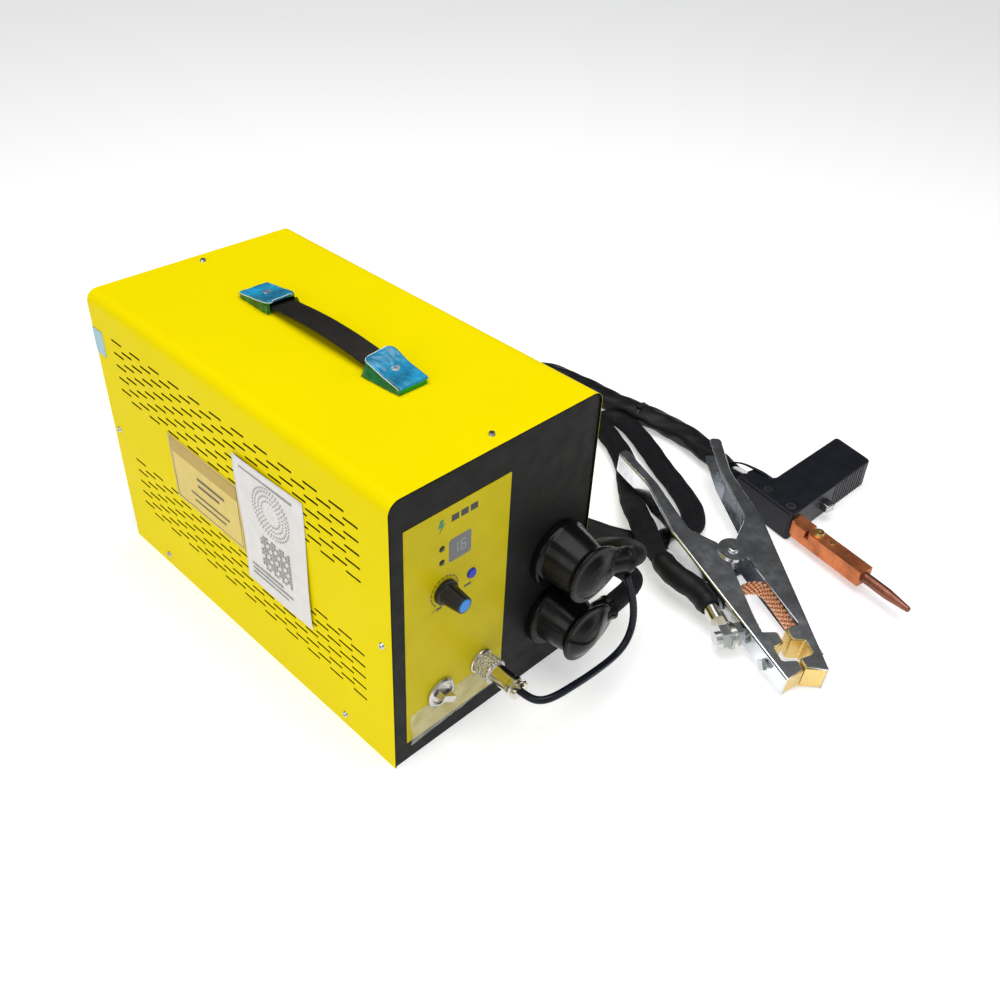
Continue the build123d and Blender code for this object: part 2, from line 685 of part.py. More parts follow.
def boot(terminal_z, mouth):
    """A rubber terminal boot: flared base, tapered body, domed head and a side tube to the mouth."""
    at = (BOOT_X, terminal_z)
    tube_plane, tube_length = exit_plane(terminal_z, mouth)
    with BuildPart() as piece:
        with BuildSketch(profile_plane(at)):
            with BuildLine():
                side = FilletPolyline(
                    (-1, 0), (-1, BOOT_BASE_R), (4, BOOT_BASE_R), (6, BOOT_BASE_R - 2.5),
                    (BOOT_LEN - 2, BOOT_NECK_R), (BOOT_LEN, BOOT_NECK_R + 1.8), (BOOT_LEN + 5, BOOT_NECK_R + 1.8),
                    (BOOT_LEN + BOOT_DOME + 3, BOOT_NECK_R - 8), (BOOT_LEN + BOOT_DOME + 4, 0),
                    radius=[0.4, 1.0, 1.5, 2.0, 1.0, 6.0, 8.0])
                Line(side @ 1, side @ 0)
            make_face()
        revolve(axis=Axis((BOOT_X, 0, terminal_z), (0, -1, 0)))
        with BuildSketch(tube_plane):
            Circle(EXIT_R)
        extrude(amount=tube_length)
        with BuildSketch(profile_plane(at)):
            with BuildLine():
                hollow = Polyline(
                    (-1, 0), (-1, BOOT_BASE_R - BOOT_WALL - 2), (BOOT_LEN, BOOT_NECK_R - BOOT_WALL),
                    (BOOT_LEN + 5, BOOT_NECK_R - 6), (BOOT_LEN + 8, 0))
                Line(hollow @ 1, hollow @ 0)
            make_face()
        revolve(axis=Axis((BOOT_X, 0, terminal_z), (0, -1, 0)), mode=Mode.SUBTRACT)
        with BuildSketch(tube_plane):
            Circle(EXIT_R - BOOT_WALL)
        extrude(amount=tube_length, mode=Mode.SUBTRACT)
    return piece


upper_boot = boot(UPPER_Z, UPPER_MOUTH)
upper_boot.part.label = "upper_boot"
export_step(upper_boot.part, "parts/upper_boot.step")

lower_boot = boot(LOWER_Z, LOWER_MOUTH)
lower_boot.part.label = "lower_boot"
export_step(lower_boot.part, "parts/lower_boot.step")

with BuildPart() as lugs:
    for terminal_z, mouth in ((UPPER_Z, UPPER_MOUTH), (LOWER_Z, LOWER_MOUTH)):
        with BuildSketch(front_plane_at((BOOT_X, terminal_z), FRONT_Y - LUG_FRONT + LUG_T)):
            Circle(12)
            Circle(STUD_R, mode=Mode.SUBTRACT)
        extrude(amount=LUG_T)
lugs.part.label = "terminal_lugs"
export_step(lugs.part, "parts/terminal_lugs.step")

# ---------------------------------------------------------------- carrying handle
strap_end_z = CASE_H + 2.0
strap_top_z = strap_end_z + STRAP_ARCH
side_view = Plane(origin=(HANDLE_X, 0, 0), x_dir=(0, 1, 0), z_dir=(1, 0, 0))
with BuildPart() as strap:
    with BuildSketch(side_view):
        with BuildLine():
            under = ThreePointArc(
                (-STRAP_END_Y, strap_end_z), (0, strap_top_z), (STRAP_END_Y, strap_end_z))
            over = ThreePointArc(
                (-STRAP_END_Y, strap_end_z + STRAP_T), (0, strap_top_z + STRAP_T),
                (STRAP_END_Y, strap_end_z + STRAP_T))
            Line(under @ 0, over @ 0)
            Line(under @ 1, over @ 1)
        make_face()
    extrude(amount=STRAP_W / 2, both=True)
strap.part.label = "handle_strap"
export_step(strap.part, "parts/handle_strap.step")


def handle_cap(side):
    """An end cap of the handle: a wedge with a mouth for the strap, higher at its inner end."""
    screw_y = side * HANDLE_SCREW_Y
    with BuildPart() as cap:
        with BuildSketch(side_view):
            with BuildLine():
                Polyline(
                    (side * CAP_INNER_Y, CASE_H), (side * CAP_INNER_Y, CASE_H + CAP_H),
                    (side * CAP_OUTER_Y, CASE_H + CAP_TOE_H), (side * CAP_OUTER_Y, CASE_H), close=True)
            make_face()
        extrude(amount=CAP_W / 2, both=True)
        fillet(cap.edges().filter_by(Axis.Z), 2.5)
        fillet(cap.faces().sort_by(Axis.Z)[-1].edges(), 0.8)
        with BuildSketch(side_view):
            with BuildLine():
                Polyline(
                    (side * (CAP_INNER_Y - 1), CASE_H), (side * (CAP_INNER_Y - 1), CASE_H + CAP_H - 1.6),
                    (side * (CAP_OUTER_Y - 6), CASE_H + CAP_TOE_H - 1), (side * (CAP_OUTER_Y - 6), CASE_H),
                    close=True)
            make_face()
        extrude(amount=CAP_W / 2 - 1.4, both=True, mode=Mode.SUBTRACT)
        with BuildSketch(Plane.XY.offset(CASE_H)):
            with Locations((HANDLE_X, screw_y)):
                Circle(4.5)
        extrude(amount=POST_H)
        with BuildSketch(Plane.XY.offset(CASE_H)):
            with Locations((HANDLE_X, screw_y)):
                Circle(SCREW_R + 0.5)
        extrude(amount=CAP_H + 2, mode=Mode.SUBTRACT)
        with BuildSketch(Plane.XY.offset(CASE_H + SCREW_SEAT_H)):
            with Locations((HANDLE_X, screw_y)):
                Circle(4.4)
        extrude(amount=CAP_H, mode=Mode.SUBTRACT)
    return cap


front_cap = handle_cap(-1)
front_cap.part.label = "handle_cap_front"
export_step(front_cap.part, "parts/handle_cap_front.step")

rear_cap = handle_cap(1)
rear_cap.part.label = "handle_cap_rear"
export_step(rear_cap.part, "parts/handle_cap_rear.step")

cap_screw_planes = []
for side in (-1, 1):
    cap_screw_planes.append(Plane(
        origin=(HANDLE_X, side * HANDLE_SCREW_Y, CASE_H + SCREW_SEAT_H), z_dir=(0, 0, 1)))
handle_screws = screws(cap_screw_planes, 4.0, 1.8, SCREW_R, SCREW_SEAT_H + 4)
handle_screws.part.label = "handle_screws"
export_step(handle_screws.part, "parts/handle_screws.step")

# ---------------------------------------------------------------- inside the case
with BuildPart() as capacitors:
    with BuildSketch(Plane.XY.offset(SHEET + 3)):
        with Locations((0, CAP_BANK_Y)):
            with GridLocations(CELL_D + 3, CELL_D + 3, 4, 4):
                Circle(CELL_D / 2)
    extrude(amount=CELL_H)
    with BuildSketch(Plane.XY.offset(SHEET + 3 + CELL_H)):
        with Locations((0, CAP_BANK_Y)):
            with GridLocations(CELL_D + 3, CELL_D + 3, 4, 4):
                Circle(4)
    extrude(amount=4)
    with BuildSketch(Plane.XY.offset(SHEET + 3 + CELL_H + 4)):
        with Locations((-(CELL_D + 3), CAP_BANK_Y), (CELL_D + 3, CAP_BANK_Y)):
            Rectangle(CELL_D + 14, 4 * (CELL_D + 3) - 6)
    extrude(amount=3)
    with BuildSketch(Plane.XY.offset(SHEET)):
        with Locations((0, CAP_BANK_Y)):
            Rectangle(4 * (CELL_D + 3), 4 * (CELL_D + 3))
    extrude(amount=3)
capacitors.part.label = "capacitor_bank"
export_step(capacitors.part, "parts/capacitor_bank.step")

with BuildPart() as heatsink:
    with BuildSketch(Plane.XY.offset(SHEET)):
        with Locations((BOOT_X - 20, HEATSINK_Y)):
            Rectangle(60, 8)
            with GridLocations(6, 0, 10, 1):
                with Locations((0, 14)):
                    Rectangle(2, 22)
    extrude(amount=150)
    with BuildSketch(Plane.XZ.offset(-(HEATSINK_Y - 4))):
        with Locations((BOOT_X - 20, 80)):
            with GridLocations(18, 28, 3, 4):
                Rectangle(15, 20)
    extrude(amount=5)
heatsink.part.label = "switch_heatsink"
export_step(heatsink.part, "parts/switch_heatsink.step")

with BuildPart() as board:
    with BuildSketch(front_plane(FRONT_Y + 20)):
        with Locations((-38, 165)):
            Rectangle(90, 100)
    extrude(amount=-1.6)
    with BuildSketch(front_plane(FRONT_Y + 20)):
        with Locations((-60, 205), (-20, 205), (-10, 130)):
            Rectangle(14, 10)
    extrude(amount=3)
    with BuildSketch(front_plane(FRONT_Y + 21.6)):
        with Locations((-40, 180), (-20, 140), (-62, 140)):
            Rectangle(12, 14)
    extrude(amount=-9)
board.part.label = "control_board"
export_step(board.part, "parts/control_board.step")

with BuildPart() as charger:
    with BuildSketch(Plane.XY.offset(SHEET)):
        with Locations((-50, CHARGER_Y)):
            Rectangle(84, 60)
    extrude(amount=45)
    with BuildSketch(Plane.XY.offset(SHEET + 45)):
        with Locations((-50, CHARGER_Y)):
            with GridLocations(9, 0, 8, 1):
                SlotOverall(40, 3, rotation=90)
    extrude(amount=-2, mode=Mode.SUBTRACT)
charger.part.label = "charger_module"
export_step(charger.part, "parts/charger_module.step")

# ---------------------------------------------------------------- earth clamp
heading = math.radians(CLAMP_HEADING)
pitch = math.radians(CLAMP_PITCH)
clamp_plane = Plane(
    origin=CLAMP_AT,
    x_dir=(math.cos(heading) * math.cos(pitch), math.sin(heading) * math.cos(pitch), -math.sin(pitch)),
    z_dir=(math.cos(heading) * math.sin(pitch), math.sin(heading) * math.sin(pitch), math.cos(pitch)))
NEST = CLAMP_T + GAP
MID_Z = -CLAMP_DEPTH / 2


def clamp_point(x, y, z):
    """A point of the clamp's own frame, in the world."""
    return clamp_plane.from_local_coords(Vector(x, y, z))


def clamp_layer(z):
    """A plane parallel to the clamp's plates, z above the outer face of the top plate."""
    return clamp_plane.offset(z)


def clamp_side(x, y, z):
    """A plane at this point of the clamp that faces its fixed side: local x forwards, local y up."""
    return Plane(origin=clamp_point(x, y, z), x_dir=clamp_plane.x_dir, z_dir=-clamp_plane.y_dir)


def half_outline(side):
    """A clamp half seen from above: toothed jaw, ear round the rivet and long handle."""
    with BuildSketch(Plane.XY) as outline:
        with BuildLine():
            edge = FilletPolyline(
                (144, side * 19.5), (-34, side * 45.8), (-100, side * 44), (-150, side * 56),
                (-153, side * 44), (-100, side * 33), (-35, side * 28), (-12, side * 8), (8, side * 8),
                (94, side * 18), (96.5, side * 5), (107.5, side * 5), (110.5, side * 15),
                (126, side * 15), (128, side * 2), (137, side * 2),
                radius=[12, 60, 5, 4, 60, 14, 10, 4, 3, 4, 3.5, 3, 4, 3])
            Line(edge @ 1, edge @ 0)
        make_face()
        Circle(EAR_R)
        Circle(RIVET_R + RUN_FIT, mode=Mode.SUBTRACT)
    return outline.sketch


def half_hollow(side):
    """What the sheet leaves free inside a half: open at the jaw, the handle's end and inwards."""
    with BuildSketch(Plane.XY) as hollow:
        with BuildLine():
            Polyline(
                (150, side * 17.1), (-34.2, side * 44.3), (-100, side * 42.5), (-150.3, side * 54.5),
                (-160, side * 56.8), (-160, -side * 60), (150, -side * 60), close=True)
        make_face()
    return hollow.sketch


def clamp_half(side, inset):
    """A pressed channel: two plates and a web along the outer edge. The inner half is inset in height."""
    depth = CLAMP_DEPTH - 2 * inset
    with BuildPart() as half:
        with BuildSketch(clamp_layer(-inset)):
            add(half_outline(side))
        extrude(amount=-depth)
        outer_edges = []
        for edge in half.edges():
            middle = clamp_plane.to_local_coords(edge.center())
            on_plate = min(abs(middle.Z + inset), abs(middle.Z + inset + depth)) < 0.01
            if on_plate and edge.length > 150 and side * middle.Y > 29:
                outer_edges.append(edge)
        fillet(outer_edges, FOLD_R)
        with BuildSketch(clamp_layer(-inset - CLAMP_T)):
            add(half_hollow(side))
        extrude(amount=-(depth - 2 * CLAMP_T), mode=Mode.SUBTRACT)
    return half


with BuildPart() as fixed_half:
    add(clamp_half(-1, NEST).part)
    with BuildSketch(clamp_side(38, -20, MID_Z)):
        SlotOverall(32, 12)
    extrude(amount=30, mode=Mode.SUBTRACT)
    for bolt_x, bolt_r in ((LUG_BOLT_X, LUG_BOLT_R), (JAW_BOLT_X, JAW_BOLT_R)):
        with BuildSketch(clamp_side(bolt_x, -20, MID_Z)):
            Circle(bolt_r + PLAY)
        extrude(amount=20, mode=Mode.SUBTRACT)
fixed_half.part.label = "clamp_fixed_half"
export_step(fixed_half.part, "parts/clamp_fixed_half.step")

with BuildPart() as moving_half:
    add(clamp_half(1, 0).part)
    with BuildSketch(clamp_side(JAW_BOLT_X, 40, MID_Z)):
        Circle(JAW_BOLT_R + PLAY)
    extrude(amount=25, mode=Mode.SUBTRACT)
moving_half.part.label = "clamp_moving_half"
export_step(moving_half.part, "parts/clamp_moving_half.step")


def brass_jaw(side, inset):
    """A solid brass tip that fills the toothed end of a clamp half between its plates."""
    depth = CLAMP_DEPTH - 2 * (inset + CLAMP_T)
    with BuildPart() as jaw:
        with BuildSketch(clamp_layer(-inset - CLAMP_T)):
            with BuildLine():
                FilletPolyline(
                    (143, side * 18), (93.5, side * 25.2), (93.5, side * 14), (95.5, side * 3.2),
                    (108, side * 3.2), (111, side * 13.6), (125.6, side * 13.6), (127.2, side * 0.4),
                    (138, side * 0.4), radius=[0.5, 1.5, 2.5, 2.5, 2, 2, 2], close=False)
                Line((138, side * 0.4), (143, side * 18))
            make_face()
        extrude(amount=-depth)
        with BuildSketch(clamp_side(JAW_BOLT_X, side * 30, MID_Z)):
            Circle(JAW_BOLT_R)
        extrude(amount=side * 15, mode=Mode.SUBTRACT)
    return jaw


fixed_jaw = brass_jaw(-1, NEST)
fixed_jaw.part.label = "clamp_fixed_jaw"
export_step(fixed_jaw.part, "parts/clamp_fixed_jaw.step")

moving_jaw = brass_jaw(1, 0)
moving_jaw.part.label = "clamp_moving_jaw"
export_step(moving_jaw.part, "parts/clamp_moving_jaw.step")

with BuildPart() as jaw_bolt:
    with BuildSketch(clamp_side(JAW_BOLT_X, JAW_WEB_Y, MID_Z)):
        Circle(JAW_BOLT_R)
    extrude(amount=8)
    with BuildSketch(clamp_side(JAW_BOLT_X, JAW_WEB_Y, MID_Z)):
        Rectangle(8, 8)
    extrude(amount=-3.5)
jaw_bolt.part.label = "clamp_jaw_bolt"
export_step(jaw_bolt.part, "parts/clamp_jaw_bolt.step")


def clamp_stack(x, layers):
    """Coaxial discs and nuts through the fixed web: (start, end, size, sides), outwards from the middle."""
    with BuildPart() as stack:
        for start, end, size, sides in layers:
            with BuildSketch(clamp_side(x, -start, MID_Z)):
                if sides == 0:
                    Circle(size)
                else:
                    RegularPolygon(size, sides, major_radius=False)
            extrude(amount=end - start)
    return stack


with BuildPart() as clamp_bolts:
    add(clamp_stack(LUG_BOLT_X, [
        (18.0, 25.4, 8.5, 0), (25.4, LUG_BOLT_END, LUG_BOLT_R, 0), (30.2, 36.2, NUT_HALF, 6),
        (36.2, LUG_PLATE_Y[0], 10.5, 0), (LUG_PLATE_Y[1], 41.6, 11.0, 0), (41.6, 50.0, NUT_HALF, 6)]).part)
    add(clamp_stack(JAW_BOLT_X, [(15.0, 24.4, JAW_BOLT_R, 0), (24.4, 27.9, 4.0, 4)]).part)
clamp_bolts.part.label = "clamp_bolts"
export_step(clamp_bolts.part, "parts/clamp_bolts.step")

with BuildPart() as cable_lug:
    with BuildSketch(clamp_side(LUG_BOLT_X, -LUG_PLATE_Y[0], MID_Z)):
        Circle(12)
        with Locations((-11, 0)):
            Rectangle(22, 14)
        Circle(LUG_BOLT_R, mode=Mode.SUBTRACT)
    extrude(amount=LUG_PLATE_Y[1] - LUG_PLATE_Y[0])
    with BuildSketch(Plane(origin=clamp_point(52, -43, -12), x_dir=clamp_plane.z_dir, z_dir=clamp_plane.x_dir)):
        Circle(6.6)
    extrude(amount=15)
cable_lug.part.label = "clamp_cable_lug"
export_step(cable_lug.part, "parts/clamp_cable_lug.step")

with BuildPart() as rivet:
    with BuildSketch(clamp_layer(2)):
        Circle(5)
    extrude(amount=-2)
    with BuildSketch(clamp_layer(0)):
        Circle(RIVET_R)
    extrude(amount=-CLAMP_DEPTH)
    with BuildSketch(clamp_layer(-CLAMP_DEPTH)):
        Circle(5)
    extrude(amount=-2)
    fillet(rivet.faces().sort_by(Axis(CLAMP_AT, clamp_plane.z_dir))[-1].edges(), 1.2)
rivet.part.label = "clamp_rivet"
export_step(rivet.part, "parts/clamp_rivet.step")

coil_height = COIL_PITCH * COIL_TURNS
with BuildPart() as spring:
    with BuildLine():
        coil = Helix(
            COIL_PITCH, coil_height, COIL_R, center=clamp_point(0, 0, MID_Z - coil_height / 2),
            direction=clamp_plane.z_dir)
    with BuildSketch(Plane(origin=coil @ 0, z_dir=coil % 0)):
        Circle(COIL_WIRE_R)
    sweep(is_frenet=True)
    for side, turn in ((-1, 0), (1, COIL_TURNS)):
        leg_z = MID_Z + (turn - COIL_TURNS / 2) * COIL_PITCH
        leg_start = clamp_point(0, side * COIL_R, leg_z)
        leg_run = clamp_point(-60, side * LEG_REACH, leg_z) - leg_start
        with BuildSketch(Plane(origin=leg_start, z_dir=leg_run)):
            Circle(COIL_WIRE_R)
        extrude(amount=leg_run.length)
spring.part.label = "clamp_spring"
export_step(spring.part, "parts/clamp_spring.step")

with BuildPart() as braid:
    with BuildSketch(clamp_layer(MID_Z + BRAID_W / 2)):
        with BuildLine():
            route = FilletPolyline(
                (93.2, -15.6), (64, -14), (38.5, -11.5), (38.5, 13), (62, 15), (93.2, 16.5),
                radius=[30, 8, 8, 30])
        trace(route, BRAID_T)
    extrude(amount=-BRAID_W)
braid.part.label = "clamp_braid"
export_step(braid.part, "parts/clamp_braid.step")

# ---------------------------------------------------------------- gun
gun_angle = math.radians(GUN_HEADING)
gun_plane = Plane(origin=GUN_AT, x_dir=(math.cos(gun_angle), math.sin(gun_angle), 0), z_dir=(0, 0, 1))


def gun_point(x, y, z):
    """A point of the gun's own frame, in the world."""
    return gun_plane.from_local_coords(Vector(x, y, z))


def gun_across(x, y, z):
    """A plane across the gun's barrel at this point, facing forwards: local x is up."""
    return Plane(origin=gun_point(x, y, z), x_dir=(0, 0, 1), z_dir=gun_plane.x_dir)


def gun_outline():
    """The housing seen from above: barrel and raked grip."""
    rake = math.radians(GRIP_RAKE)
    tip = (-math.sin(rake) * GRIP_L, math.cos(rake) * GRIP_L)
    grip_w = GRIP_W * math.cos(rake)
    with BuildSketch(Plane.XY) as outline:
        with BuildLine():
            edge = FilletPolyline(
                (BARREL_BACK, BARREL_W / 2), (BARREL_BACK, 0), (0, 0), tip,
                (tip[0] - grip_w, tip[1] + 1.5), (-grip_w - math.tan(rake) * BARREL_W, BARREL_W),
                (BARREL_BACK, BARREL_REAR_W), radius=[3, 4, 5, 4, 6])
            Line(edge @ 1, edge @ 0)
        make_face()
    return outline.sketch


def finger_grooves():
    """Round cutters for the fine ridges along the front of the grip."""
    rake = math.radians(GRIP_RAKE)
    with BuildSketch(Plane.XY) as grooves:
        for along in GROOVES:
            with Locations((
                    -math.sin(rake) * along + math.cos(rake) * GROOVE_OUT,
                    math.cos(rake) * along + math.sin(rake) * GROOVE_OUT)):
                Circle(GROOVE_R)
    return grooves.sketch


def gun_shell(bottom, depth):
    """Half of the gun's housing: a shell open towards the split, with all its openings."""
    upper = bottom > 0
    with BuildPart() as shell:
        with BuildSketch(gun_plane.offset(bottom)):
            add(gun_outline())
        extrude(amount=depth)
        outer_face = shell.faces().sort_by(Axis.Z)[-1 if upper else 0]
        fillet(outer_face.edges(), GUN_ROUND)
        with BuildSketch(gun_plane.offset(bottom)):
            add(finger_grooves())
        extrude(amount=depth, mode=Mode.SUBTRACT)
        with BuildSketch(gun_plane.offset(bottom + (0 if upper else GUN_WALL))):
            add(gun_outline())
            offset(amount=-GUN_WALL, mode=Mode.REPLACE)
        extrude(amount=depth - GUN_WALL, mode=Mode.SUBTRACT)
        with BuildSketch(gun_across(BARREL_BACK - 1, CABLE_IN[0], CABLE_IN[1])):
            Circle(GUN_CABLE_D / 2 + GAP)
        extrude(amount=6, mode=Mode.SUBTRACT)
        with BuildSketch(gun_across(-7, (BAR_NECK_Y + BAR_Y[1]) / 2, BAR_MID_Z)):
            Rectangle(BAR_Z[1] - BAR_Z[0] + 0.6, BAR_Y[1] - BAR_NECK_Y + 0.6)
        extrude(amount=8, mode=Mode.SUBTRACT)
        with BuildSketch(gun_across(-20, TRIGGER_AT, GUN_SPLIT)):
            Rectangle(TRIGGER_H + 0.3, TRIGGER_W + 0.3)
        extrude(amount=20, mode=Mode.SUBTRACT)
        for place in GUN_SCREWS:
            if upper:
                with BuildSketch(gun_plane.offset(GUN_T)):
                    with Locations(place):
                        Circle(GUN_SCREW_HEAD_R + 0.2)
                extrude(amount=-2, mode=Mode.SUBTRACT)
            with BuildSketch(gun_plane):
                with Locations(place):
                    Circle(GUN_SCREW_R + 0.3)
            extrude(amount=GUN_T, mode=Mode.SUBTRACT)
    return shell


gun_lower = gun_shell(0, GUN_SPLIT)
gun_lower.part.label = "gun_lower_shell"
export_step(gun_lower.part, "parts/gun_lower_shell.step")

gun_upper = gun_shell(GUN_SPLIT, GUN_T - GUN_SPLIT)
gun_upper.part.label = "gun_upper_shell"
export_step(gun_upper.part, "parts/gun_upper_shell.step")

gun_screw_planes = [
    Plane(origin=gun_point(place[0], place[1], GUN_T - 1.8), z_dir=(0, 0, 1)) for place in GUN_SCREWS]
gun_screws = screws(gun_screw_planes, GUN_SCREW_HEAD_R, 1.6, GUN_SCREW_R, GUN_T - 5)
gun_screws.part.label = "gun_screws"
export_step(gun_screws.part, "parts/gun_screws.step")

with BuildPart() as copper_bar:
    with BuildSketch(gun_plane.offset(BAR_Z[0])):
        with BuildLine():
            Polyline(
                (-58, BAR_NECK_Y), (3.5, BAR_NECK_Y), (3.5, BAR_Y[0]), (LAP_X[1], BAR_Y[0]),
                (LAP_X[1], BAR_Y[1]), (3.5, BAR_Y[1]), (-58, BAR_Y[1]), close=True)
        make_face()
    extrude(amount=BAR_Z[1] - BAR_Z[0])
    with BuildSketch(gun_plane.offset(LAP_Z)):
        with Locations(((LAP_X[0] + LAP_X[1]) / 2 + 5, (BAR_Y[0] + BAR_Y[1]) / 2)):
            Rectangle(LAP_X[1] - LAP_X[0] + 10, BAR_Y[1] - BAR_Y[0] + 2)
    extrude(amount=BAR_Z[1] - LAP_Z, mode=Mode.SUBTRACT)
    with BuildSketch(gun_plane):
        with Locations(*GUN_SCREWS):
            Circle(GUN_SCREW_R + 0.3)
        with Locations(BAR_SCREW):
            Circle(3)
        with Locations(SET_SCREW):
            Circle(1.5)
    extrude(amount=GUN_T, mode=Mode.SUBTRACT)
copper_bar.part.label = "copper_bar"
export_step(copper_bar.part, "parts/copper_bar.step")

with BuildPart() as holder:
    with BuildSketch(gun_plane.offset(LAP_Z)):
        with BuildLine():
            FilletPolyline(
                (LAP_X[1] + 1, BAR_Y[0]), (LAP_X[0] + 0.4, BAR_Y[0]), (LAP_X[0] + 0.4, BAR_Y[1]),
                (LAP_X[1] + 1, BAR_Y[1]), radius=[7, 7])
            Line((LAP_X[1] + 1, BAR_Y[1]), (LAP_X[1] + 1, BAR_Y[0]))
        make_face()
    extrude(amount=BAR_Z[1] - LAP_Z)
    with BuildSketch(gun_plane.offset(BAR_Z[0])):
        with Locations(((LAP_X[1] + HOLDER_END) / 2 + 0.1, (BAR_Y[0] + BAR_Y[1]) / 2)):
            Rectangle(HOLDER_END - LAP_X[1] - 0.2, BAR_Y[1] - BAR_Y[0])
    extrude(amount=BAR_Z[1] - BAR_Z[0])
    with BuildSketch(gun_across(PIN_BACK, PIN_YZ[0], PIN_YZ[1])):
        Circle(PIN_R)
    extrude(amount=40, mode=Mode.SUBTRACT)
    with BuildSketch(gun_plane.offset(LAP_Z)):
        with Locations(BAR_SCREW):
            Circle(3)
        with Locations(SET_SCREW):
            Circle(1.5)
    extrude(amount=GUN_T, mode=Mode.SUBTRACT)
holder.part.label = "electrode_holder"
export_step(holder.part, "parts/electrode_holder.step")

with BuildPart() as pin:
    with BuildSketch(Plane(
            origin=gun_point(0, PIN_YZ[0], PIN_YZ[1]), x_dir=gun_plane.x_dir, z_dir=(0, 0, 1))):
        with BuildLine():
            outline = FilletPolyline(
                (PIN_BACK, 0), (PIN_BACK, PIN_R), (PIN_TAPER, PIN_R), (PIN_END, 2.6), (PIN_END, 0),
                radius=[0.4, 20, 2])
            Line(outline @ 1, outline @ 0)
        make_face()
    revolve(axis=Axis(gun_point(0, PIN_YZ[0], PIN_YZ[1]), gun_plane.x_dir))
pin.part.label = "electrode_pin"
export_step(pin.part, "parts/electrode_pin.step")

with BuildPart() as bar_screws:
    for place, head_r, head_h, shank_r in ((BAR_SCREW, 5.6, 2.5, 2.8), (SET_SCREW, 2.6, 1.0, 1.4)):
        with BuildSketch(gun_plane.offset(BAR_Z[1])):
            with Locations(place):
                Circle(head_r)
        extrude(amount=head_h, taper=22)
        with BuildSketch(gun_plane.offset(BAR_Z[0] + 1)):
            with Locations(place):
                Circle(shank_r)
        extrude(amount=BAR_Z[1] - BAR_Z[0] - 1)
        with BuildSketch(gun_plane.offset(BAR_Z[1] + head_h)):
            with Locations(place):
                Rectangle(head_r, head_r / 5, rotation=20)
                Rectangle(head_r / 5, head_r, rotation=20)
        extrude(amount=-head_h / 2, mode=Mode.SUBTRACT)
bar_screws.part.label = "bar_screws"
export_step(bar_screws.part, "parts/bar_screws.step")

with BuildPart() as trigger:
    with BuildSketch(gun_across(TRIGGER_X[0], TRIGGER_AT, GUN_SPLIT)):
        RectangleRounded(TRIGGER_H, TRIGGER_W, 2)
    extrude(amount=TRIGGER_X[1] - TRIGGER_X[0])
    front = trigger.faces().sort_by(Axis(gun_point(0, 0, 0), gun_plane.x_dir))[-1]
    fillet(front.edges(), 1.5)
    with BuildSketch(gun_across(TRIGGER_X[0], TRIGGER_AT, GUN_SPLIT)):
        Rectangle(TRIGGER_H + 4, TRIGGER_W + 4)
    extrude(amount=1.5)
trigger.part.label = "gun_trigger"
export_step(trigger.part, "parts/gun_trigger.step")

with BuildPart() as trigger_switch:
    with BuildSketch(gun_across(TRIGGER_X[0] - TRIGGER_TRAVEL - 20.4, TRIGGER_AT, GUN_SPLIT)):
        Rectangle(12, 20)
    extrude(amount=20)
trigger_switch.part.label = "trigger_switch"
export_step(trigger_switch.part, "parts/trigger_switch.step")


# ---------------------------------------------------------------- cables
def cord(name, points, diameter):
    """A cable as straight runs joined by tangent arcs, each as large as its two runs allow."""
    corners = [Vector(*point) for point in points]
    radii = []
    for before, here, after in zip(corners, corners[1:], corners[2:]):
        turn = math.radians((here - before).get_angle(after - here))
        shorter = min((here - before).length, (after - here).length)
        radii.append(0.45 * shorter / math.tan(turn / 2))
    with BuildPart() as tube:
        with BuildLine() as route:
            FilletPolyline(*corners, radius=radii)
        start = route.wires()[0]
        with BuildSketch(Plane(origin=start @ 0, z_dir=start % 0)):
            Circle(diameter / 2)
        sweep(path=start)
    expected = math.pi * diameter ** 2 / 4 * start.length
    print(name, "length", round(start.length), "volume ratio", round(tube.part.volume / expected, 4))
    print("  radii", [round(radius) for radius in radii], "smallest", round(min(radii) / diameter, 2), "diameters")
    return tube


control_lead = cord("control_lead", LEAD_ROUTE, LEAD_D)
control_lead.part.label = "control_lead"
export_step(control_lead.part, "parts/control_lead.step")

clamp_cable = cord("clamp_cable", CLAMP_ROUTE, CLAMP_CABLE_D)
clamp_cable.part.label = "clamp_cable"
export_step(clamp_cable.part, "parts/clamp_cable.step")

gun_cable = cord("gun_cable", GUN_ROUTE, GUN_CABLE_D)
gun_cable.part.label = "gun_cable"
export_step(gun_cable.part, "parts/gun_cable.step")
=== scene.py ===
"""Looks of the battery spot welder: materials, sleeves, braid, films, labels, light and camera."""
from math import atan2, cos, pi, radians, sin, sqrt

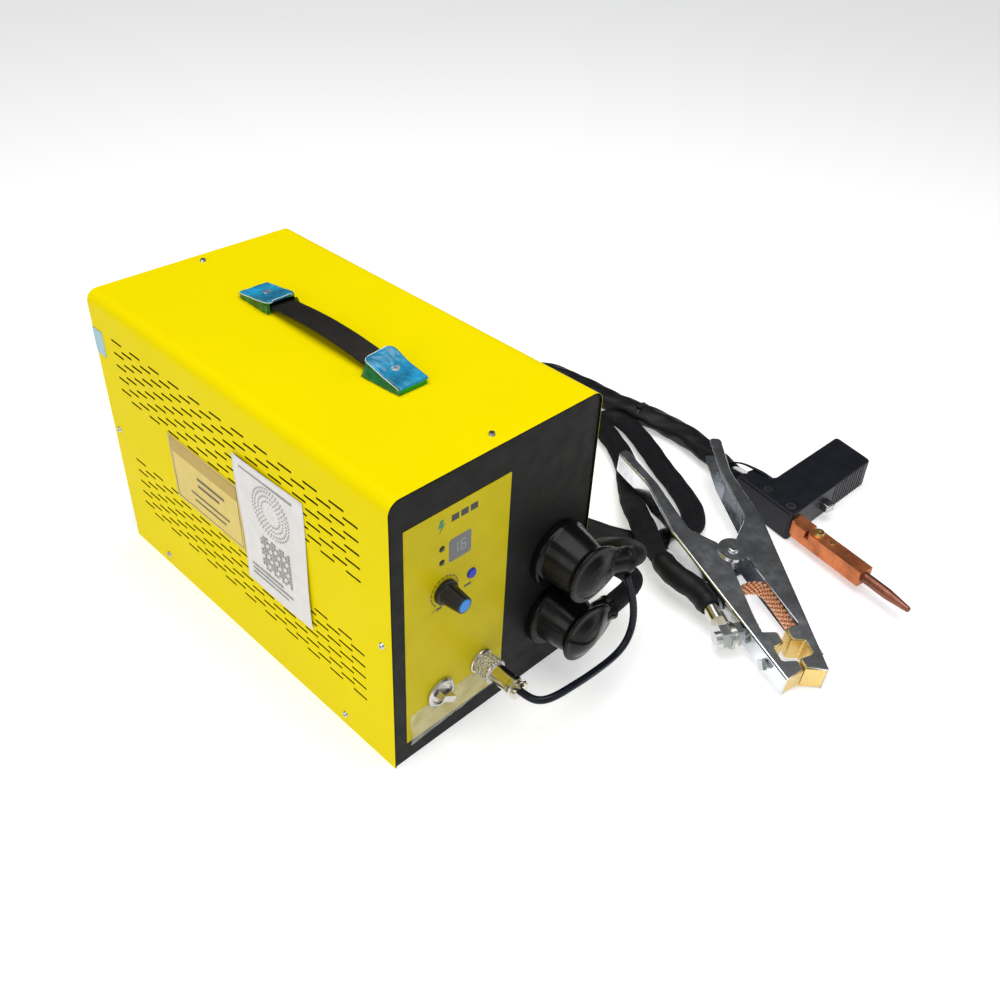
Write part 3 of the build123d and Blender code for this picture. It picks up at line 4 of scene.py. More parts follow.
import bmesh
import bpy
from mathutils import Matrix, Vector


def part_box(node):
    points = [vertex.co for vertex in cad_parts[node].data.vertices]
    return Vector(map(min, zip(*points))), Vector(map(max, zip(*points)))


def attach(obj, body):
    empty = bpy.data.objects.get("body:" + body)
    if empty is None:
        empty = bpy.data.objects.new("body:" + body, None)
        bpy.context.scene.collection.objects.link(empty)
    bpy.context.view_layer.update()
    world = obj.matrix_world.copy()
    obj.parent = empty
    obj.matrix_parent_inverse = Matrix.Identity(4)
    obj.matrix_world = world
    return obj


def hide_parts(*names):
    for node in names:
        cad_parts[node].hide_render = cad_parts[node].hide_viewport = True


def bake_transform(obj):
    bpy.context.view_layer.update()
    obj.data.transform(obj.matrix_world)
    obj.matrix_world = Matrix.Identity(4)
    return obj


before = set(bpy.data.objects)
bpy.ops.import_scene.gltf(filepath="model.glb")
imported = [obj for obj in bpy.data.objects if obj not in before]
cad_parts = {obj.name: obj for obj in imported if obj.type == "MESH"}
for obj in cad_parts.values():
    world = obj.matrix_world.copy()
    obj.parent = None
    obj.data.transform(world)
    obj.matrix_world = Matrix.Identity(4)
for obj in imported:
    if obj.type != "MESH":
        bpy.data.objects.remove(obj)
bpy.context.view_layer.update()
MM = 0.001


# ---------------- small helpers
def in_scene(name, data):
    """A new object with this mesh, curve, light or camera, linked to the scene."""
    thing = bpy.data.objects.new(name, data)
    bpy.context.scene.collection.objects.link(thing)
    return thing


def set_inputs(node, values):
    """Set a node's sockets, given by name or number."""
    for socket, value in values.items():
        node.inputs[socket].default_value = value
    return node


def fill_ramp(ramp, stops):
    """Give a colour ramp these stops: (position, colour)."""
    elements = ramp.color_ramp.elements
    while len(elements) < len(stops):
        elements.new(0.5)
    for element, (position, colour) in zip(elements, stops):
        element.position = position
        element.color = (*colour, 1)
    return ramp


def shade(colour, factor):
    return tuple(min(1.0, c * factor) for c in colour)


# ---------------- camera and light
CAMERA_AT = (-406.6, -564.5, 632.3)
CAMERA_TURN = (52.235, -2.405, -45.001)
LENS = 37.11
# the studio's grey surroundings: lighter towards the left, the front and above
LIGHT_SIDE = (-0.72, -0.42, 0.55)
SURROUNDINGS = [(0.0, 0.03), (0.42, 0.07), (0.62, 0.34), (1.0, 0.46)]
FLOOR_EDGE = 6.0


def make_camera():
    data = bpy.data.cameras.new("camera")
    data.lens = LENS
    data.sensor_width = 36.0
    camera = in_scene("camera", data)
    camera.location = Vector(CAMERA_AT) * MM
    camera.rotation_euler = [radians(a) for a in CAMERA_TURN]
    bpy.context.scene.camera = camera


def area_light(name, place, target, size, power):
    data = bpy.data.lights.new(name, "AREA")
    data.shape = "RECTANGLE"
    data.size, data.size_y = size
    data.energy = power
    light = in_scene(name, data)
    light.location = place
    light.rotation_euler = (Vector(target) - Vector(place)).to_track_quat("-Z", "Y").to_euler()


def make_studio():
    world = bpy.data.worlds.new("studio")
    world.use_nodes = True
    tree = world.node_tree
    background = set_inputs(tree.nodes["Background"], {"Strength": 1.0})
    coords = tree.nodes.new("ShaderNodeTexCoord")
    towards = tree.nodes.new("ShaderNodeVectorMath")
    towards.operation = "DOT_PRODUCT"
    set_inputs(towards, {1: LIGHT_SIDE})
    scaled = set_inputs(tree.nodes.new("ShaderNodeMapRange"), {"From Min": -1.0})
    ramp = fill_ramp(tree.nodes.new("ShaderNodeValToRGB"), [
        (position, (grey * 0.97, grey * 0.985, grey)) for position, grey in SURROUNDINGS])
    tree.links.new(coords.outputs["Generated"], towards.inputs[0])
    tree.links.new(towards.outputs["Value"], scaled.inputs["Value"])
    tree.links.new(scaled.outputs["Result"], ramp.inputs["Fac"])
    tree.links.new(ramp.outputs["Color"], background.inputs["Color"])
    bpy.context.scene.world = world
    bpy.context.scene.view_settings.view_transform = "Standard"
    area_light("overhead", (0.1, -0.1, 1.7), (0.1, -0.1, 0), (1.5, 1.5), 21)
    area_light("left_window", (-1.6, -0.3, 1.0), (0, 0, 0.12), (1.0, 0.9), 6)
    area_light("front_strip", (0.9, -1.5, 1.2), (0.2, -0.2, 0.08), (1.2, 0.22), 3)
    floor_mesh = bpy.data.meshes.new("floor")
    corners = [(x * FLOOR_EDGE, y * FLOOR_EDGE, 0) for x, y in ((-1, -1), (1, -1), (1, 1), (-1, 1))]
    floor_mesh.from_pydata(corners, [], [(0, 1, 2, 3)])
    floor = in_scene("floor", floor_mesh)
    floor.data.materials.append(plain_material("floor_white", (0.85, 0.85, 0.85), 0.95, {
        "Specular IOR Level": 0.0, "Emission Color": (1, 1, 1, 1), "Emission Strength": 0.42}))


# ---------------- material helpers
def plain_material(name, colour, rough, more):
    """A Principled material: colour, roughness and any more socket values."""
    material = bpy.data.materials.new(name)
    material.use_nodes = True
    shader = material.node_tree.nodes["Principled BSDF"]
    set_inputs(shader, {"Base Color": (*colour, 1), "Roughness": rough, **more})
    return material


class Look:
    """A node material: colour, roughness and bump from textures in object coordinates."""

    def __init__(self, name, colour, rough, metallic=0.0, coat=0.0, specular=0.5):
        self.colour = colour
        self.material = plain_material(name, colour, rough, {
            "Metallic": metallic, "Coat Weight": coat, "Coat Roughness": 0.12,
            "Specular IOR Level": specular})
        self.tree = self.material.node_tree
        self.shader = self.tree.nodes["Principled BSDF"]
        self.coords = self.tree.nodes.new("ShaderNodeTexCoord").outputs["Object"]
        self.normal = None

    def node(self, kind, inputs=None, **settings):
        node = self.tree.nodes.new(kind)
        for key, value in settings.items():
            setattr(node, key, value)
        return set_inputs(node, inputs or {})

    def link(self, source, target):
        self.tree.links.new(source, target)

    def noise(self, scale, detail=4.0, rough=0.55, stretch=(1, 1, 1)):
        mapping = self.node("ShaderNodeMapping", {"Scale": stretch})
        noise = self.node("ShaderNodeTexNoise", {"Scale": scale, "Detail": detail, "Roughness": rough})
        self.link(self.coords, mapping.inputs["Vector"])
        self.link(mapping.outputs["Vector"], noise.inputs["Vector"])
        return noise.outputs["Fac"]

    def cells(self, scale):
        cells = self.node("ShaderNodeTexVoronoi", {"Scale": scale}, feature="F1")
        self.link(self.coords, cells.inputs["Vector"])
        return cells.outputs["Distance"]

    def ramp(self, source, stops):
        ramp = fill_ramp(self.node("ShaderNodeValToRGB"), stops)
        self.link(source, ramp.inputs["Fac"])
        return ramp.outputs["Color"]

    def spread(self, source, low, high, from_low=0.0, from_high=1.0):
        spread = self.node("ShaderNodeMapRange", {
            "From Min": from_low, "From Max": from_high, "To Min": low, "To Max": high})
        self.link(source, spread.inputs["Value"])
        return spread.outputs["Result"]

    def shades(self, *stops):
        """Stops for a ramp, as (position, factor): the look's own colour made darker or lighter."""
        return [(position, shade(self.colour, factor)) for position, factor in stops]

    def colour_from(self, source, stops):
        self.link(self.ramp(source, stops), self.shader.inputs["Base Color"])
        return self

    def rough_from(self, source, low, high):
        self.link(self.spread(source, low, high, 0.3, 0.7), self.shader.inputs["Roughness"])
        return self

    def bump_from(self, source, strength, distance):
        """Add a bump over the ones before it; distance in millimetres."""
        bump = self.node("ShaderNodeBump", {"Strength": strength, "Distance": distance * MM})
        self.link(source, bump.inputs["Height"])
        if self.normal is not None:
            self.link(self.normal, bump.inputs["Normal"])
        self.normal = bump.outputs["Normal"]
        self.link(self.normal, self.shader.inputs["Normal"])
        return self


# ---------------- materials
def painted(name, colour, rough, grain):
    """Powder coat: a fine orange peel, faint cloudiness, slightly uneven gloss, and painted shade on the
    cover's inside faces.
    """
    look = Look(name, colour, rough, specular=0.02)
    look.rough_from(look.noise(18, 5), rough - 0.06, rough + 0.08)
    look.bump_from(look.noise(grain, 2, 0.5), 0.25, 0.12)
    paint = look.ramp(look.noise(6, 5), look.shades((0.3, 0.97), (0.7, 1.02)))
    # below the cover's outer skin, on its inside faces, the colour turns near black: painted shade
    depth = skin_depth(look)
    inside_shade_mix = look.node("ShaderNodeMix", data_type="RGBA")
    look.link(look.spread(depth, 1, 0, -0.00025, -0.00012), inside_shade_mix.inputs[0])
    look.link(paint, inside_shade_mix.inputs[6])
    inside_shade_mix.inputs[7].default_value = (0.006, 0.006, 0.005, 1)
    look.link(inside_shade_mix.outputs[2], look.shader.inputs["Base Color"])
    return look.material


def skin_depth(look):
    """Depth below the cover's rounded outer skin in metres, 0 on the skin and negative inside it."""
    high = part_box("cover_shell")[1]
    corner = 10 * MM
    parts = look.node("ShaderNodeSeparateXYZ")
    look.link(look.coords, parts.inputs[0])

    def math_node(kind, first, second=None):
        node = look.node("ShaderNodeMath", operation=kind)
        for socket, value in zip(node.inputs, (first, second)):
            if isinstance(value, float):
                socket.default_value = value
            elif value is not None:
                look.link(value, socket)
        return node.outputs[0]

    aside = math_node("SUBTRACT", math_node("ABSOLUTE", parts.outputs["X"]), high[0] - corner)
    above = math_node("SUBTRACT", parts.outputs["Z"], high[2] - corner)
    aside = math_node("MAXIMUM", aside, 0.0)
    above = math_node("MAXIMUM", above, 0.0)
    square = math_node("ADD", math_node("MULTIPLY", aside, aside), math_node("MULTIPLY", above, above))
    return math_node("SUBTRACT", math_node("SQRT", square), corner)


def moulded(name, colour, rough, grain=900, coat=0.0):
    """Moulded plastic: a faint spark-eroded grain and uneven gloss."""
    look = Look(name, colour, rough, coat=coat, specular=0.3)
    look.colour_from(look.noise(30, 4), look.shades((0.35, 0.85), (0.7, 1.2)))
    look.rough_from(look.noise(60, 6), rough - 0.07, rough + 0.1)
    return look.bump_from(look.noise(grain, 2), 0.2, 0.1).material


def rubber(name, colour, rough):
    """Glossy rubber with soft mould marks, dust and small scuffs."""
    look = Look(name, colour, rough, specular=0.2)
    look.colour_from(look.noise(420, 8, 0.75), [(0.45, colour), (0.74, colour), (0.79, (0.09, 0.09, 0.088))])
    look.rough_from(look.noise(30, 6), rough - 0.08, rough + 0.14)
    return look.bump_from(look.noise(22, 3), 0.1, 0.5).material


def bare_metal(name, colour, rough, brush, variation=0.12, stretch=(1, 1, 14)):
    """Rolled or plated metal: fine streaks, smudges that change the gloss, and a little colour drift."""
    look = Look(name, colour, rough, metallic=1.0)
    look.colour_from(look.noise(22, 6), look.shades((0.3, 1 - variation), (0.7, 1 + variation)))
    look.rough_from(look.noise(45, 8, 0.65), rough - 0.06, rough + 0.14)
    return look.bump_from(look.noise(brush, 4, 0.6, stretch), 0.08, 0.08).material


def zinc_sheet(name):
    """Bright zinc-plated sheet: nearly a mirror, with cloudy passivation, gentle waves and scratches."""
    look = Look(name, (0.76, 0.78, 0.81), 0.1, metallic=1.0)
    look.colour_from(look.noise(26, 7, 0.62), look.shades((0.3, 0.7), (0.5, 1), (0.75, 1.15)))
    look.rough_from(look.noise(70, 9, 0.7), 0.07, 0.26)
    look.bump_from(look.noise(9, 2), 0.55, 2.2)
    return look.bump_from(look.noise(240, 6, 0.7, (1, 7, 1)), 0.05, 0.06).material


def knurled(name):
    """Nickel plate over a fine knurl."""
    look = Look(name, (0.62, 0.61, 0.57), 0.24, metallic=1.0)
    look.rough_from(look.noise(60, 6), 0.2, 0.4)
    return look.bump_from(look.cells(620), 1.0, 1.2).material


def sleeve_cloth(name, colour, weave=1400):
    """Woven nylon sleeve: a fine basket weave over the ribs that the mesh already has."""
    look = Look(name, colour, 0.48, specular=0.26)
    look.colour_from(look.noise(90, 6), look.shades((0.3, 0.6), (0.75, 1.7)))
    look.bump_from(look.cells(weave), 0.35, 0.25)
    return look.bump_from(look.noise(70, 4), 0.3, 0.8).material


def film(name, colour, alpha, rough=0.18):
    """Thin protective film, tinted or clear, with creases that catch the light, and painted highlights of
    creases in its colour.
    """
    look = Look(name, colour, rough, coat=0.3)
    look.shader.inputs["Alpha"].default_value = alpha
    look.material.blend_method = "BLEND"
    # the lighter patches in the film's colour are painted highlights of creases catching the light; the
    # darker ones are blotches
    look.colour_from(look.noise(75, 4, 0.6), look.shades((0.36, 0.6), (0.52, 1), (0.72, 1.7)))
    look.rough_from(look.noise(120, 6), rough - 0.08, rough + 0.2)
    return look.bump_from(look.noise(90, 5, 0.6), 0.5, 0.5).material


def panel_paint(name):
    """Charcoal textured paint: a fine grain and uneven gloss."""
    look = Look(name, (0.01, 0.01, 0.0092), 0.5, specular=0.14)
    look.colour_from(look.noise(12, 5), [(0.3, (0.008, 0.008, 0.0075)), (0.7, (0.012, 0.012, 0.011))])
    look.rough_from(look.noise(70, 6), 0.42, 0.6)
    look.bump_from(look.noise(1400, 2), 0.35, 0.12)
    return look.bump_from(look.noise(160, 3), 0.1, 0.2).material


def label_film(name):
    """Printed film: mustard ink, a grain, small scratches and a satin laminate."""
    look = Look(name, (0.6, 0.49, 0.004), 0.3, specular=0.08)
    look.colour_from(look.noise(25, 6), look.shades((0.3, 0.93), (0.72, 1.07)))
    look.rough_from(look.noise(160, 8, 0.7), 0.22, 0.42)
    return look.bump_from(look.noise(700, 3), 0.15, 0.08).material


def copper(name, colour, rough=0.3):
    """Copper with heat tint: orange to brown patches, machining streaks and dull spots."""
    look = Look(name, colour, rough, metallic=0.88)
    look.colour_from(look.noise(34, 7, 0.6), look.shades((0.3, 0.55), (0.5, 1), (0.72, 1.25)))
    look.rough_from(look.noise(60, 8, 0.65), rough - 0.1, rough + 0.2)
    return look.bump_from(look.noise(260, 5, 0.6, (1, 9, 9)), 0.18, 0.12).material


def braided(name):
    """Copper strands, with painted shade in the gaps between them and a painted highlight on their crowns."""
    look = Look(name, (0.85, 0.36, 0.2), 0.34, metallic=0.88)
    painted_strand_light = look.node("ShaderNodeAttribute", attribute_name="painted_strand_light").outputs["Fac"]
    # painted shade in the strand gaps and a painted highlight on the strand crowns, from the strand heights
    look.colour_from(painted_strand_light, [
        (0.2, (0.13, 0.035, 0.016)), (0.5, (0.74, 0.27, 0.12)), (0.95, (1.0, 0.64, 0.42))])
    look.rough_from(look.noise(60, 8, 0.65), 0.22, 0.5)
    return look.bump_from(look.noise(260, 5, 0.6, (1, 9, 9)), 0.18, 0.12).material


def film_metal(name):
    """Bright plated cap seen through blue film: it takes on green where it mirrors the yellow cover."""
    look = Look(name, (0.025, 0.3, 0.5), 0.22, metallic=1.0)
    look.colour_from(look.noise(70, 5), look.shades((0.3, 0.75), (0.7, 1.25)))
    look.rough_from(look.noise(110, 6), 0.12, 0.34)
    return look.bump_from(look.noise(120, 5), 0.4, 0.4).material


def printed(name, colour, rough=0.5):
    """Ink or paper: slightly uneven, with a fine tooth."""
    look = Look(name, colour, rough)
    look.colour_from(look.noise(60, 6), look.shades((0.3, 0.94), (0.75, 1.04)))
    return look.bump_from(look.noise(300, 5), 0.12, 0.08).material


def build_materials():
    return {
        "yellow": painted("yellow_paint", (0.86, 0.70, 0.0), 0.38, 900),
        "charcoal": panel_paint("charcoal_paint"),
        "zinc": zinc_sheet("zinc_steel"),
        "bolts": bare_metal("bolt_zinc", (0.55, 0.57, 0.56), 0.2, 700, 0.15, (1, 1, 1)),
        "dark_steel": bare_metal("dark_steel", (0.2, 0.2, 0.21), 0.35, 500),
        "nickel": bare_metal("nickel_plate", (0.72, 0.68, 0.6), 0.14, 500),
        "knurl": knurled("knurled_nickel"),
        "brass": bare_metal("brass", (0.78, 0.58, 0.22), 0.24, 320),
        "copper": copper("copper", (0.6, 0.195, 0.075), 0.4),
        "pin": copper("electrode_copper", (0.27, 0.105, 0.07), 0.36),
        "braid": braided("braid_copper"),
        "aluminium": bare_metal("aluminium", (0.75, 0.76, 0.77), 0.3, 300),
        "black": moulded("black_plastic", (0.018, 0.018, 0.02), 0.36),
        "gun_black": moulded("gun_plastic", (0.008, 0.009, 0.0135), 0.42, 1200),
        "knob": moulded("knob_plastic", (0.013, 0.013, 0.014), 0.3, 1200),
        "blue": moulded("blue_cap", (0.03, 0.25, 0.72), 0.3, 1400),
        "button": moulded("blue_button", (0.02, 0.05, 0.5), 0.3, 1400),
        "window": moulded("window_smoke", (0.085, 0.09, 0.09), 0.12, 1800, coat=0.6),
        "lamp": moulded("lamp_lens", (0.006, 0.006, 0.006), 0.15, 1800, coat=0.5),
        "label": label_film("label_film"),
        "rubber": rubber("boot_rubber", (0.0045, 0.0045, 0.005), 0.2),
        "shrink": rubber("heat_shrink", (0.006, 0.006, 0.0075), 0.45),
        "lead": rubber("lead_jacket", (0.006, 0.008, 0.014), 0.22),
        "sleeve": sleeve_cloth("cable_sleeve", (0.0055, 0.0058, 0.0075)),
        "strap": sleeve_cloth("strap_rubber", (0.010, 0.009, 0.007), 2200),
        "board": moulded("circuit_board", (0.01, 0.09, 0.03), 0.35),
        "cells": moulded("cell_wrap", (0.02, 0.03, 0.08), 0.3),
        "screw": bare_metal("bright_screw", (0.9, 0.91, 0.92), 0.36, 500),
        "chrome_face": bare_metal("switch_chrome", (0.62, 0.6, 0.57), 0.16, 500),
        "blue_film": film("blue_film", (0.012, 0.28, 0.5), 0.86),
        # pale colour of the film's lifted edge: a painted highlight
        "film_edge_highlight": printed("film_edge_highlight", (0.72, 0.8, 0.82), 0.3),
        "green_film": film("green_film", (0.01, 0.2, 0.05), 0.72),
        "clear_film": film("clear_film", (0.85, 0.85, 0.72), 0.2, 0.14),
        "film_metal": film_metal("filmed_chrome"),
        "splice": printed("splice_sleeve", (0.7, 0.69, 0.66), 0.35),
        "ink": printed("printed_ink", (0.02, 0.02, 0.018), 0.4),
        "green_ink": printed("green_ink", (0.02, 0.24, 0.07), 0.4),
        "segment": printed("dim_segment", (0.33, 0.34, 0.34), 0.4),
        "cream": printed("cream_sticker", (0.74, 0.56, 0.12), 0.45),
        "amber": printed("amber_band", (0.5, 0.33, 0.04), 0.45),
        "brown_ink": printed("brown_ink", (0.12, 0.09, 0.05), 0.5),
        "paper": printed("white_paper", (0.78, 0.76, 0.74), 0.7),
        "grey_ink": printed("grey_ink", (0.32, 0.31, 0.3), 0.6),
        "pale_blue": printed("pale_blue_sticker", (0.36, 0.57, 0.66), 0.5),
    }


NODE_LOOKS = {
    "yellow": ["cover_shell"],
    "charcoal": ["front_panel", "rear_panel", "base_plate"],
    "zinc": ["clamp_fixed_half", "clamp_moving_half", "clamp_rivet", "fan_guard"],
    "bolts": ["clamp_bolts", "clamp_jaw_bolt", "gun_trigger", "cover_screws"],
    "screw": ["handle_screws"],
    "dark_steel": ["gun_screws", "potentiometer"],
    "knurl": ["coupling_ring"],
    "nickel": ["aviation_socket", "aviation_plug", "plug_clamp", "clamp_cable_lug"],
    "brass": ["clamp_fixed_jaw", "clamp_moving_jaw", "bar_screws"],
    "copper": ["copper_bar", "electrode_holder", "output_terminals", "terminal_lugs"],
    "pin": ["electrode_pin"],
    "aluminium": ["switch_heatsink", "charger_module"],
    "black": [
        "fan_frame", "fan_rotor", "power_inlet", "display_module", "button_switch", "switch_body",
        "terminal_insulators", "trigger_switch"],
    "gun_black": ["gun_lower_shell", "gun_upper_shell"],
    "knob": ["energy_knob"],
    "blue": ["knob_cap"],
    "film_metal": ["handle_cap_front", "handle_cap_rear"],
    "button": ["mode_button"],
    "window": ["display_window"],
    "lamp": ["status_lamps"],
    "label": ["control_label"],
    "board": ["control_board"],
    "cells": ["capacitor_bank"],
    "chrome_face": ["switch_bezel", "switch_lever"],
}


def paint_nodes(looks):
    for look, names in NODE_LOOKS.items():
        for name in names:
            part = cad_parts[name]
            part.data.materials.clear()
            part.data.materials.append(looks[look])
            part.data.polygons.foreach_set("material_index", [0] * len(part.data.polygons))


# ---------------- mesh helpers
def mesh_piece(name, verts, faces, material, body="welder", smooth=True):
    mesh = bpy.data.meshes.new(name)
    mesh.from_pydata([tuple(v) for v in verts], [], faces)
    mesh.validate()
    piece = in_scene(name, mesh)
    piece.data.materials.append(material)
    mesh.polygons.foreach_set("use_smooth", [smooth] * len(mesh.polygons))
    if body:
        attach(piece, body)
    return piece


def spline_points(route):
    """Points along the smooth curve whose control points are the route."""
    data = bpy.data.curves.new("route", "CURVE")
    data.dimensions = "3D"
    data.resolution_u = 10
    spline = data.splines.new("NURBS")
    spline.points.add(len(route) - 1)
    for point, place in zip(spline.points, route):
        point.co = (*place, 1)
    spline.order_u = 3
    spline.use_endpoint_u = True
    holder = in_scene("route", data)
    mesh = bpy.data.meshes.new_from_object(holder)
    points = [v.co.copy() for v in mesh.vertices]
    bpy.data.objects.remove(holder)
    bpy.data.meshes.remove(mesh)
    return points


def evenly(points, step):
    """The same line, resampled at a fixed step so that rings and ribs are evenly spaced."""
    lengths = [0.0]
    for a, b in zip(points, points[1:]):
        lengths.append(lengths[-1] + (b - a).length)
    count = max(2, round(lengths[-1] / step))
    result = []
    at = 0
    for i in range(count + 1):
        want = lengths[-1] * i / count
        while at < len(lengths) - 2 and lengths[at + 1] < want:
            at += 1
        span = lengths[at + 1] - lengths[at]
        result.append(points[at].lerp(points[at + 1], (want - lengths[at]) / span if span else 0))
    return result


def smooth_line(route, step):
    """Evenly spaced points along the smooth curve of a route in metres; the step is in millimetres."""
    return evenly(spline_points(route), step * MM)


def line_length(points):
    return sum((b - a).length for a, b in zip(points, points[1:]))


def frames_along(points):
    """(point, side, up) along a line; side stays level, so that a flat sleeve lies flat."""
    result = []
    side = None
    for i, point in enumerate(points):
        ahead = points[min(i + 1, len(points) - 1)] - points[max(i - 1, 0)]
        ahead.normalize()
        level = Vector((0, 0, 1)).cross(ahead)
        if side is None:
            side = level.normalized()
        else:
            weight = min(1.0, level.length) * 0.35
            if level.length > 1e-6 and level.dot(side) < 0:
                level = -level
            side = side.lerp(level.normalized() if level.length > 1e-6 else side, weight)
            side = (side - ahead * side.dot(ahead)).normalized()
        result.append((point, side, ahead.cross(side).normalized()))
    return result


def grid_faces(rows, columns):
    """Faces between a grid of points that were added row by row, columns + 1 points to a row."""
    row = columns + 1
    return [
        (i * row + k, i * row + k + 1, (i + 1) * row + k + 1, (i + 1) * row + k)
        for i in range(rows) for k in range(columns)]


def ring_faces(rings, sides):
    """Faces between rings of points that were added ring by ring."""
    faces = []
    for i in range(rings - 1):
        for k in range(sides):
            n = (k + 1) % sides
            faces.append((i * sides + k, (i + 1) * sides + k, (i + 1) * sides + n, i * sides + n))
    return faces


def tube(name, points, section, material, sides=48, body="welder"):
    """A closed tube: section(share, angle, distance) gives (across, up) at that share of the line."""
    verts = []
    rails = frames_along(points)
    total = line_length(points)
    for i, (point, side, up) in enumerate(rails):
        share = i / (len(rails) - 1)
        for k in range(sides):
            across, high = section(share, 2 * pi * k / sides, share * total)
            verts.append(point + side * across + up * high)
    faces = [(a, d, c, b) for a, b, c, d in ring_faces(len(rails), sides)]
    faces.append(tuple(range(sides))[::-1])
    faces.append(tuple((len(rails) - 1) * sides + k for k in range(sides)))
    return mesh_piece(name, verts, faces, material, body)


def round_wire(radius):
    """Section for tube: a round wire, its radius in millimetres."""
    def section(share, angle, distance):
        return radius * MM * cos(angle), radius * MM * sin(angle)
    return section


def eased(share, start, end):
    """0 before start, 1 after end, smooth between."""
    t = min(1.0, max(0.0, (share - start) / (end - start)))
    return t * t * (3 - 2 * t)


# ---------------- cables
# the same routes as in the CAD, in millimetres
LEAD_ROUTE = [
    (-14, -228.5, 55), (-14, -238, 55), (-9, -246, 56), (2, -249.5, 56), (19, -250, 54), (38, -249, 49.5),
    (57, -246.5, 44), (74, -244.5, 40.5), (87.5, -243, 41), (96.5, -241.5, 46), (101.5, -240, 55),
    (103, -238.5, 66), (102.5, -236.5, 78), (101, -233.5, 90), (98.5, -229.3, 102.4)]
CLAMP_ROUTE = [
    (100, -217, 60), (114, -215.8, 61.2), (129, -214.5, 60.5), (141, -208.5, 58.5), (147.5, -200, 55.5),
    (150, -184, 52), (151, -163, 45), (153, -135, 33), (155, -105, 19.5), (157, -78, 10.5), (159, -50, 8.5),
    (163, -24, 8.5), (172, -5, 8.5), (187, -3, 8.5), (198.5, -16, 8.5), (204, -38, 8.5), (208, -68, 8.5),
    (214, -102, 8.5), (225, -132, 8.5), (241, -153, 8.5), (261, -165, 8.5), (281, -168.5, 8.5),
    (300, -163.5, 8.5), (316, -147, 8.5), (330.5, -121, 8.5), (343.5, -93, 8.5), (358, -66, 8.5),
    (371, -42, 8.5), (380.5, -19, 8.5), (385, -2, 8.5), (382, 10, 8.5), (371, 14.5, 8.5), (360, 8, 8.5),
    (352, -8, 8.5), (340, -34, 8.5), (322, -60, 8.6), (300, -81, 9.5), (279, -100, 13.5), (259, -119, 21),
    (242, -140, 26.5), (225, -163, 28), (211, -186, 27), (204, -212, 25), (206.5, -238.3, 22.9),
    (197.7, -253.9, 21.3)]
GUN_ROUTE = [
    (104, -225, 113.5), (112, -226, 112.4), (118.5, -222, 110.3), (122, -212.5, 106.5), (122.5, -200, 99.5),
    (122, -186, 89.5), (121, -168, 75), (120, -140, 53), (120, -108, 31), (121, -72, 16.5),
    (124, -32, 12), (131, 8, 12), (150, 43, 12), (185, 67, 12), (227, 83, 12), (270, 104, 12), (308, 129, 12),
    (342, 145, 12), (372, 142, 12), (393, 122, 12), (401, 91, 12), (401, 55, 11), (404, 18, 11),
    (410, -18, 11), (413, -50, 11), (409, -82, 11), (400, -112, 12), (390, -139, 13.5), (378, -166, 16)]
LEAD_D = 6.0
SHRINK_FROM = 0.945


def metres(route):
    return [Vector(point) * MM for point in route]


def ribbed_section(width_at, height_at, ribs, depth):
    """A flattened tube with ribs along it and slow wrinkles, in millimetres."""
    def section(share, angle, distance):
        wrinkle = sin(distance * 190 + 2 * sin(angle)) * sin(angle * 2 + distance * 60)
        wrinkle = 1 + 0.03 * wrinkle
        rib = 1 - depth * (1 - abs(sin(angle * ribs / 2))) ** 2
        across = width_at(share) / 2 * cos(angle) * wrinkle * rib
        high = height_at(share) / 2 * sin(angle) * wrinkle * rib
        return across * MM, high * MM
    return section


def build_clamp_cable(looks):
    """Ribbed sleeve that flattens away from its ends, with a heat-shrink tube where it meets the lug."""
    clamp_line = smooth_line(metres(CLAMP_ROUTE), 2.2)

    def flatness(share):
        return eased(share, 0.03, 0.1) * (1 - eased(share, 0.9, SHRINK_FROM))

    def width(share):
        return 16.5 + 8.5 * flatness(share)

    def height(share):
        return 16.5 - 4.5 * flatness(share)

    sleeve = tube("clamp_sleeve", clamp_line, ribbed_section(width, height, 24, 0.13), looks["sleeve"], 144)
    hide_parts("clamp_cable")
    shrink_line = [p for i, p in enumerate(clamp_line) if i / (len(clamp_line) - 1) > SHRINK_FROM - 0.012]

    def shrink_section(share, angle, distance):
        radius = 10.8 - 2.2 * eased(share, 0.88, 1.0) - 1.2 * (1 - eased(share, 0, 0.08))
        radius += 0.25 * sin(angle * 3 + distance * 140) + 0.2 * sin(distance * 420)
        return radius * MM * cos(angle), radius * MM * sin(angle)

    shrink = tube("clamp_heat_shrink", shrink_line, shrink_section, looks["shrink"], 40)
    line_length(clamp_line)


def build_gun_cable(looks):
    """Loose cloth sleeve with slow folds, wider in the middle than at its ends."""
    gun_line = smooth_line(metres(GUN_ROUTE), 2.2)

    def section(share, angle, distance):
        fold = 1 + 0.045 * sin(distance * 95 + 3 * sin(angle))
        fold += 0.03 * sin(distance * 230 + angle * 4)
        fold += 0.03 * cos(angle * 5 + 2 * sin(distance * 40))
        spread, taper = eased(share, 0.06, 0.3), eased(share, 0.86, 1.0)
        width = 16 + 13 * spread - 8 * taper
        height = 16 + 4 * spread - 2 * taper
        return width / 2 * cos(angle) * fold * MM, height / 2 * sin(angle) * fold * MM

    gun_sleeve = tube("gun_sleeve", gun_line, section, looks["sleeve"], 64)
    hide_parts("gun_cable")
    line_length(gun_line)


def build_control_lead(looks):
    lead_line = smooth_line(metres(LEAD_ROUTE), 1.5)
    lead = tube("lead_jacket", lead_line, round_wire(LEAD_D / 2), looks["lead"], 28)
    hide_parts("control_lead")
    line_length(lead_line)


# ---------------- clamp and gun frames
CLAMP_AT = Vector((260.1, -230.8, 37.8))
CLAMP_HEADING = radians(-119.4)
CLAMP_PITCH = radians(5)
CLAMP_MID = -12.6
GUN_AT = Vector((350.0, -237.7, 0.0))
GUN_HEADING = radians(-102)

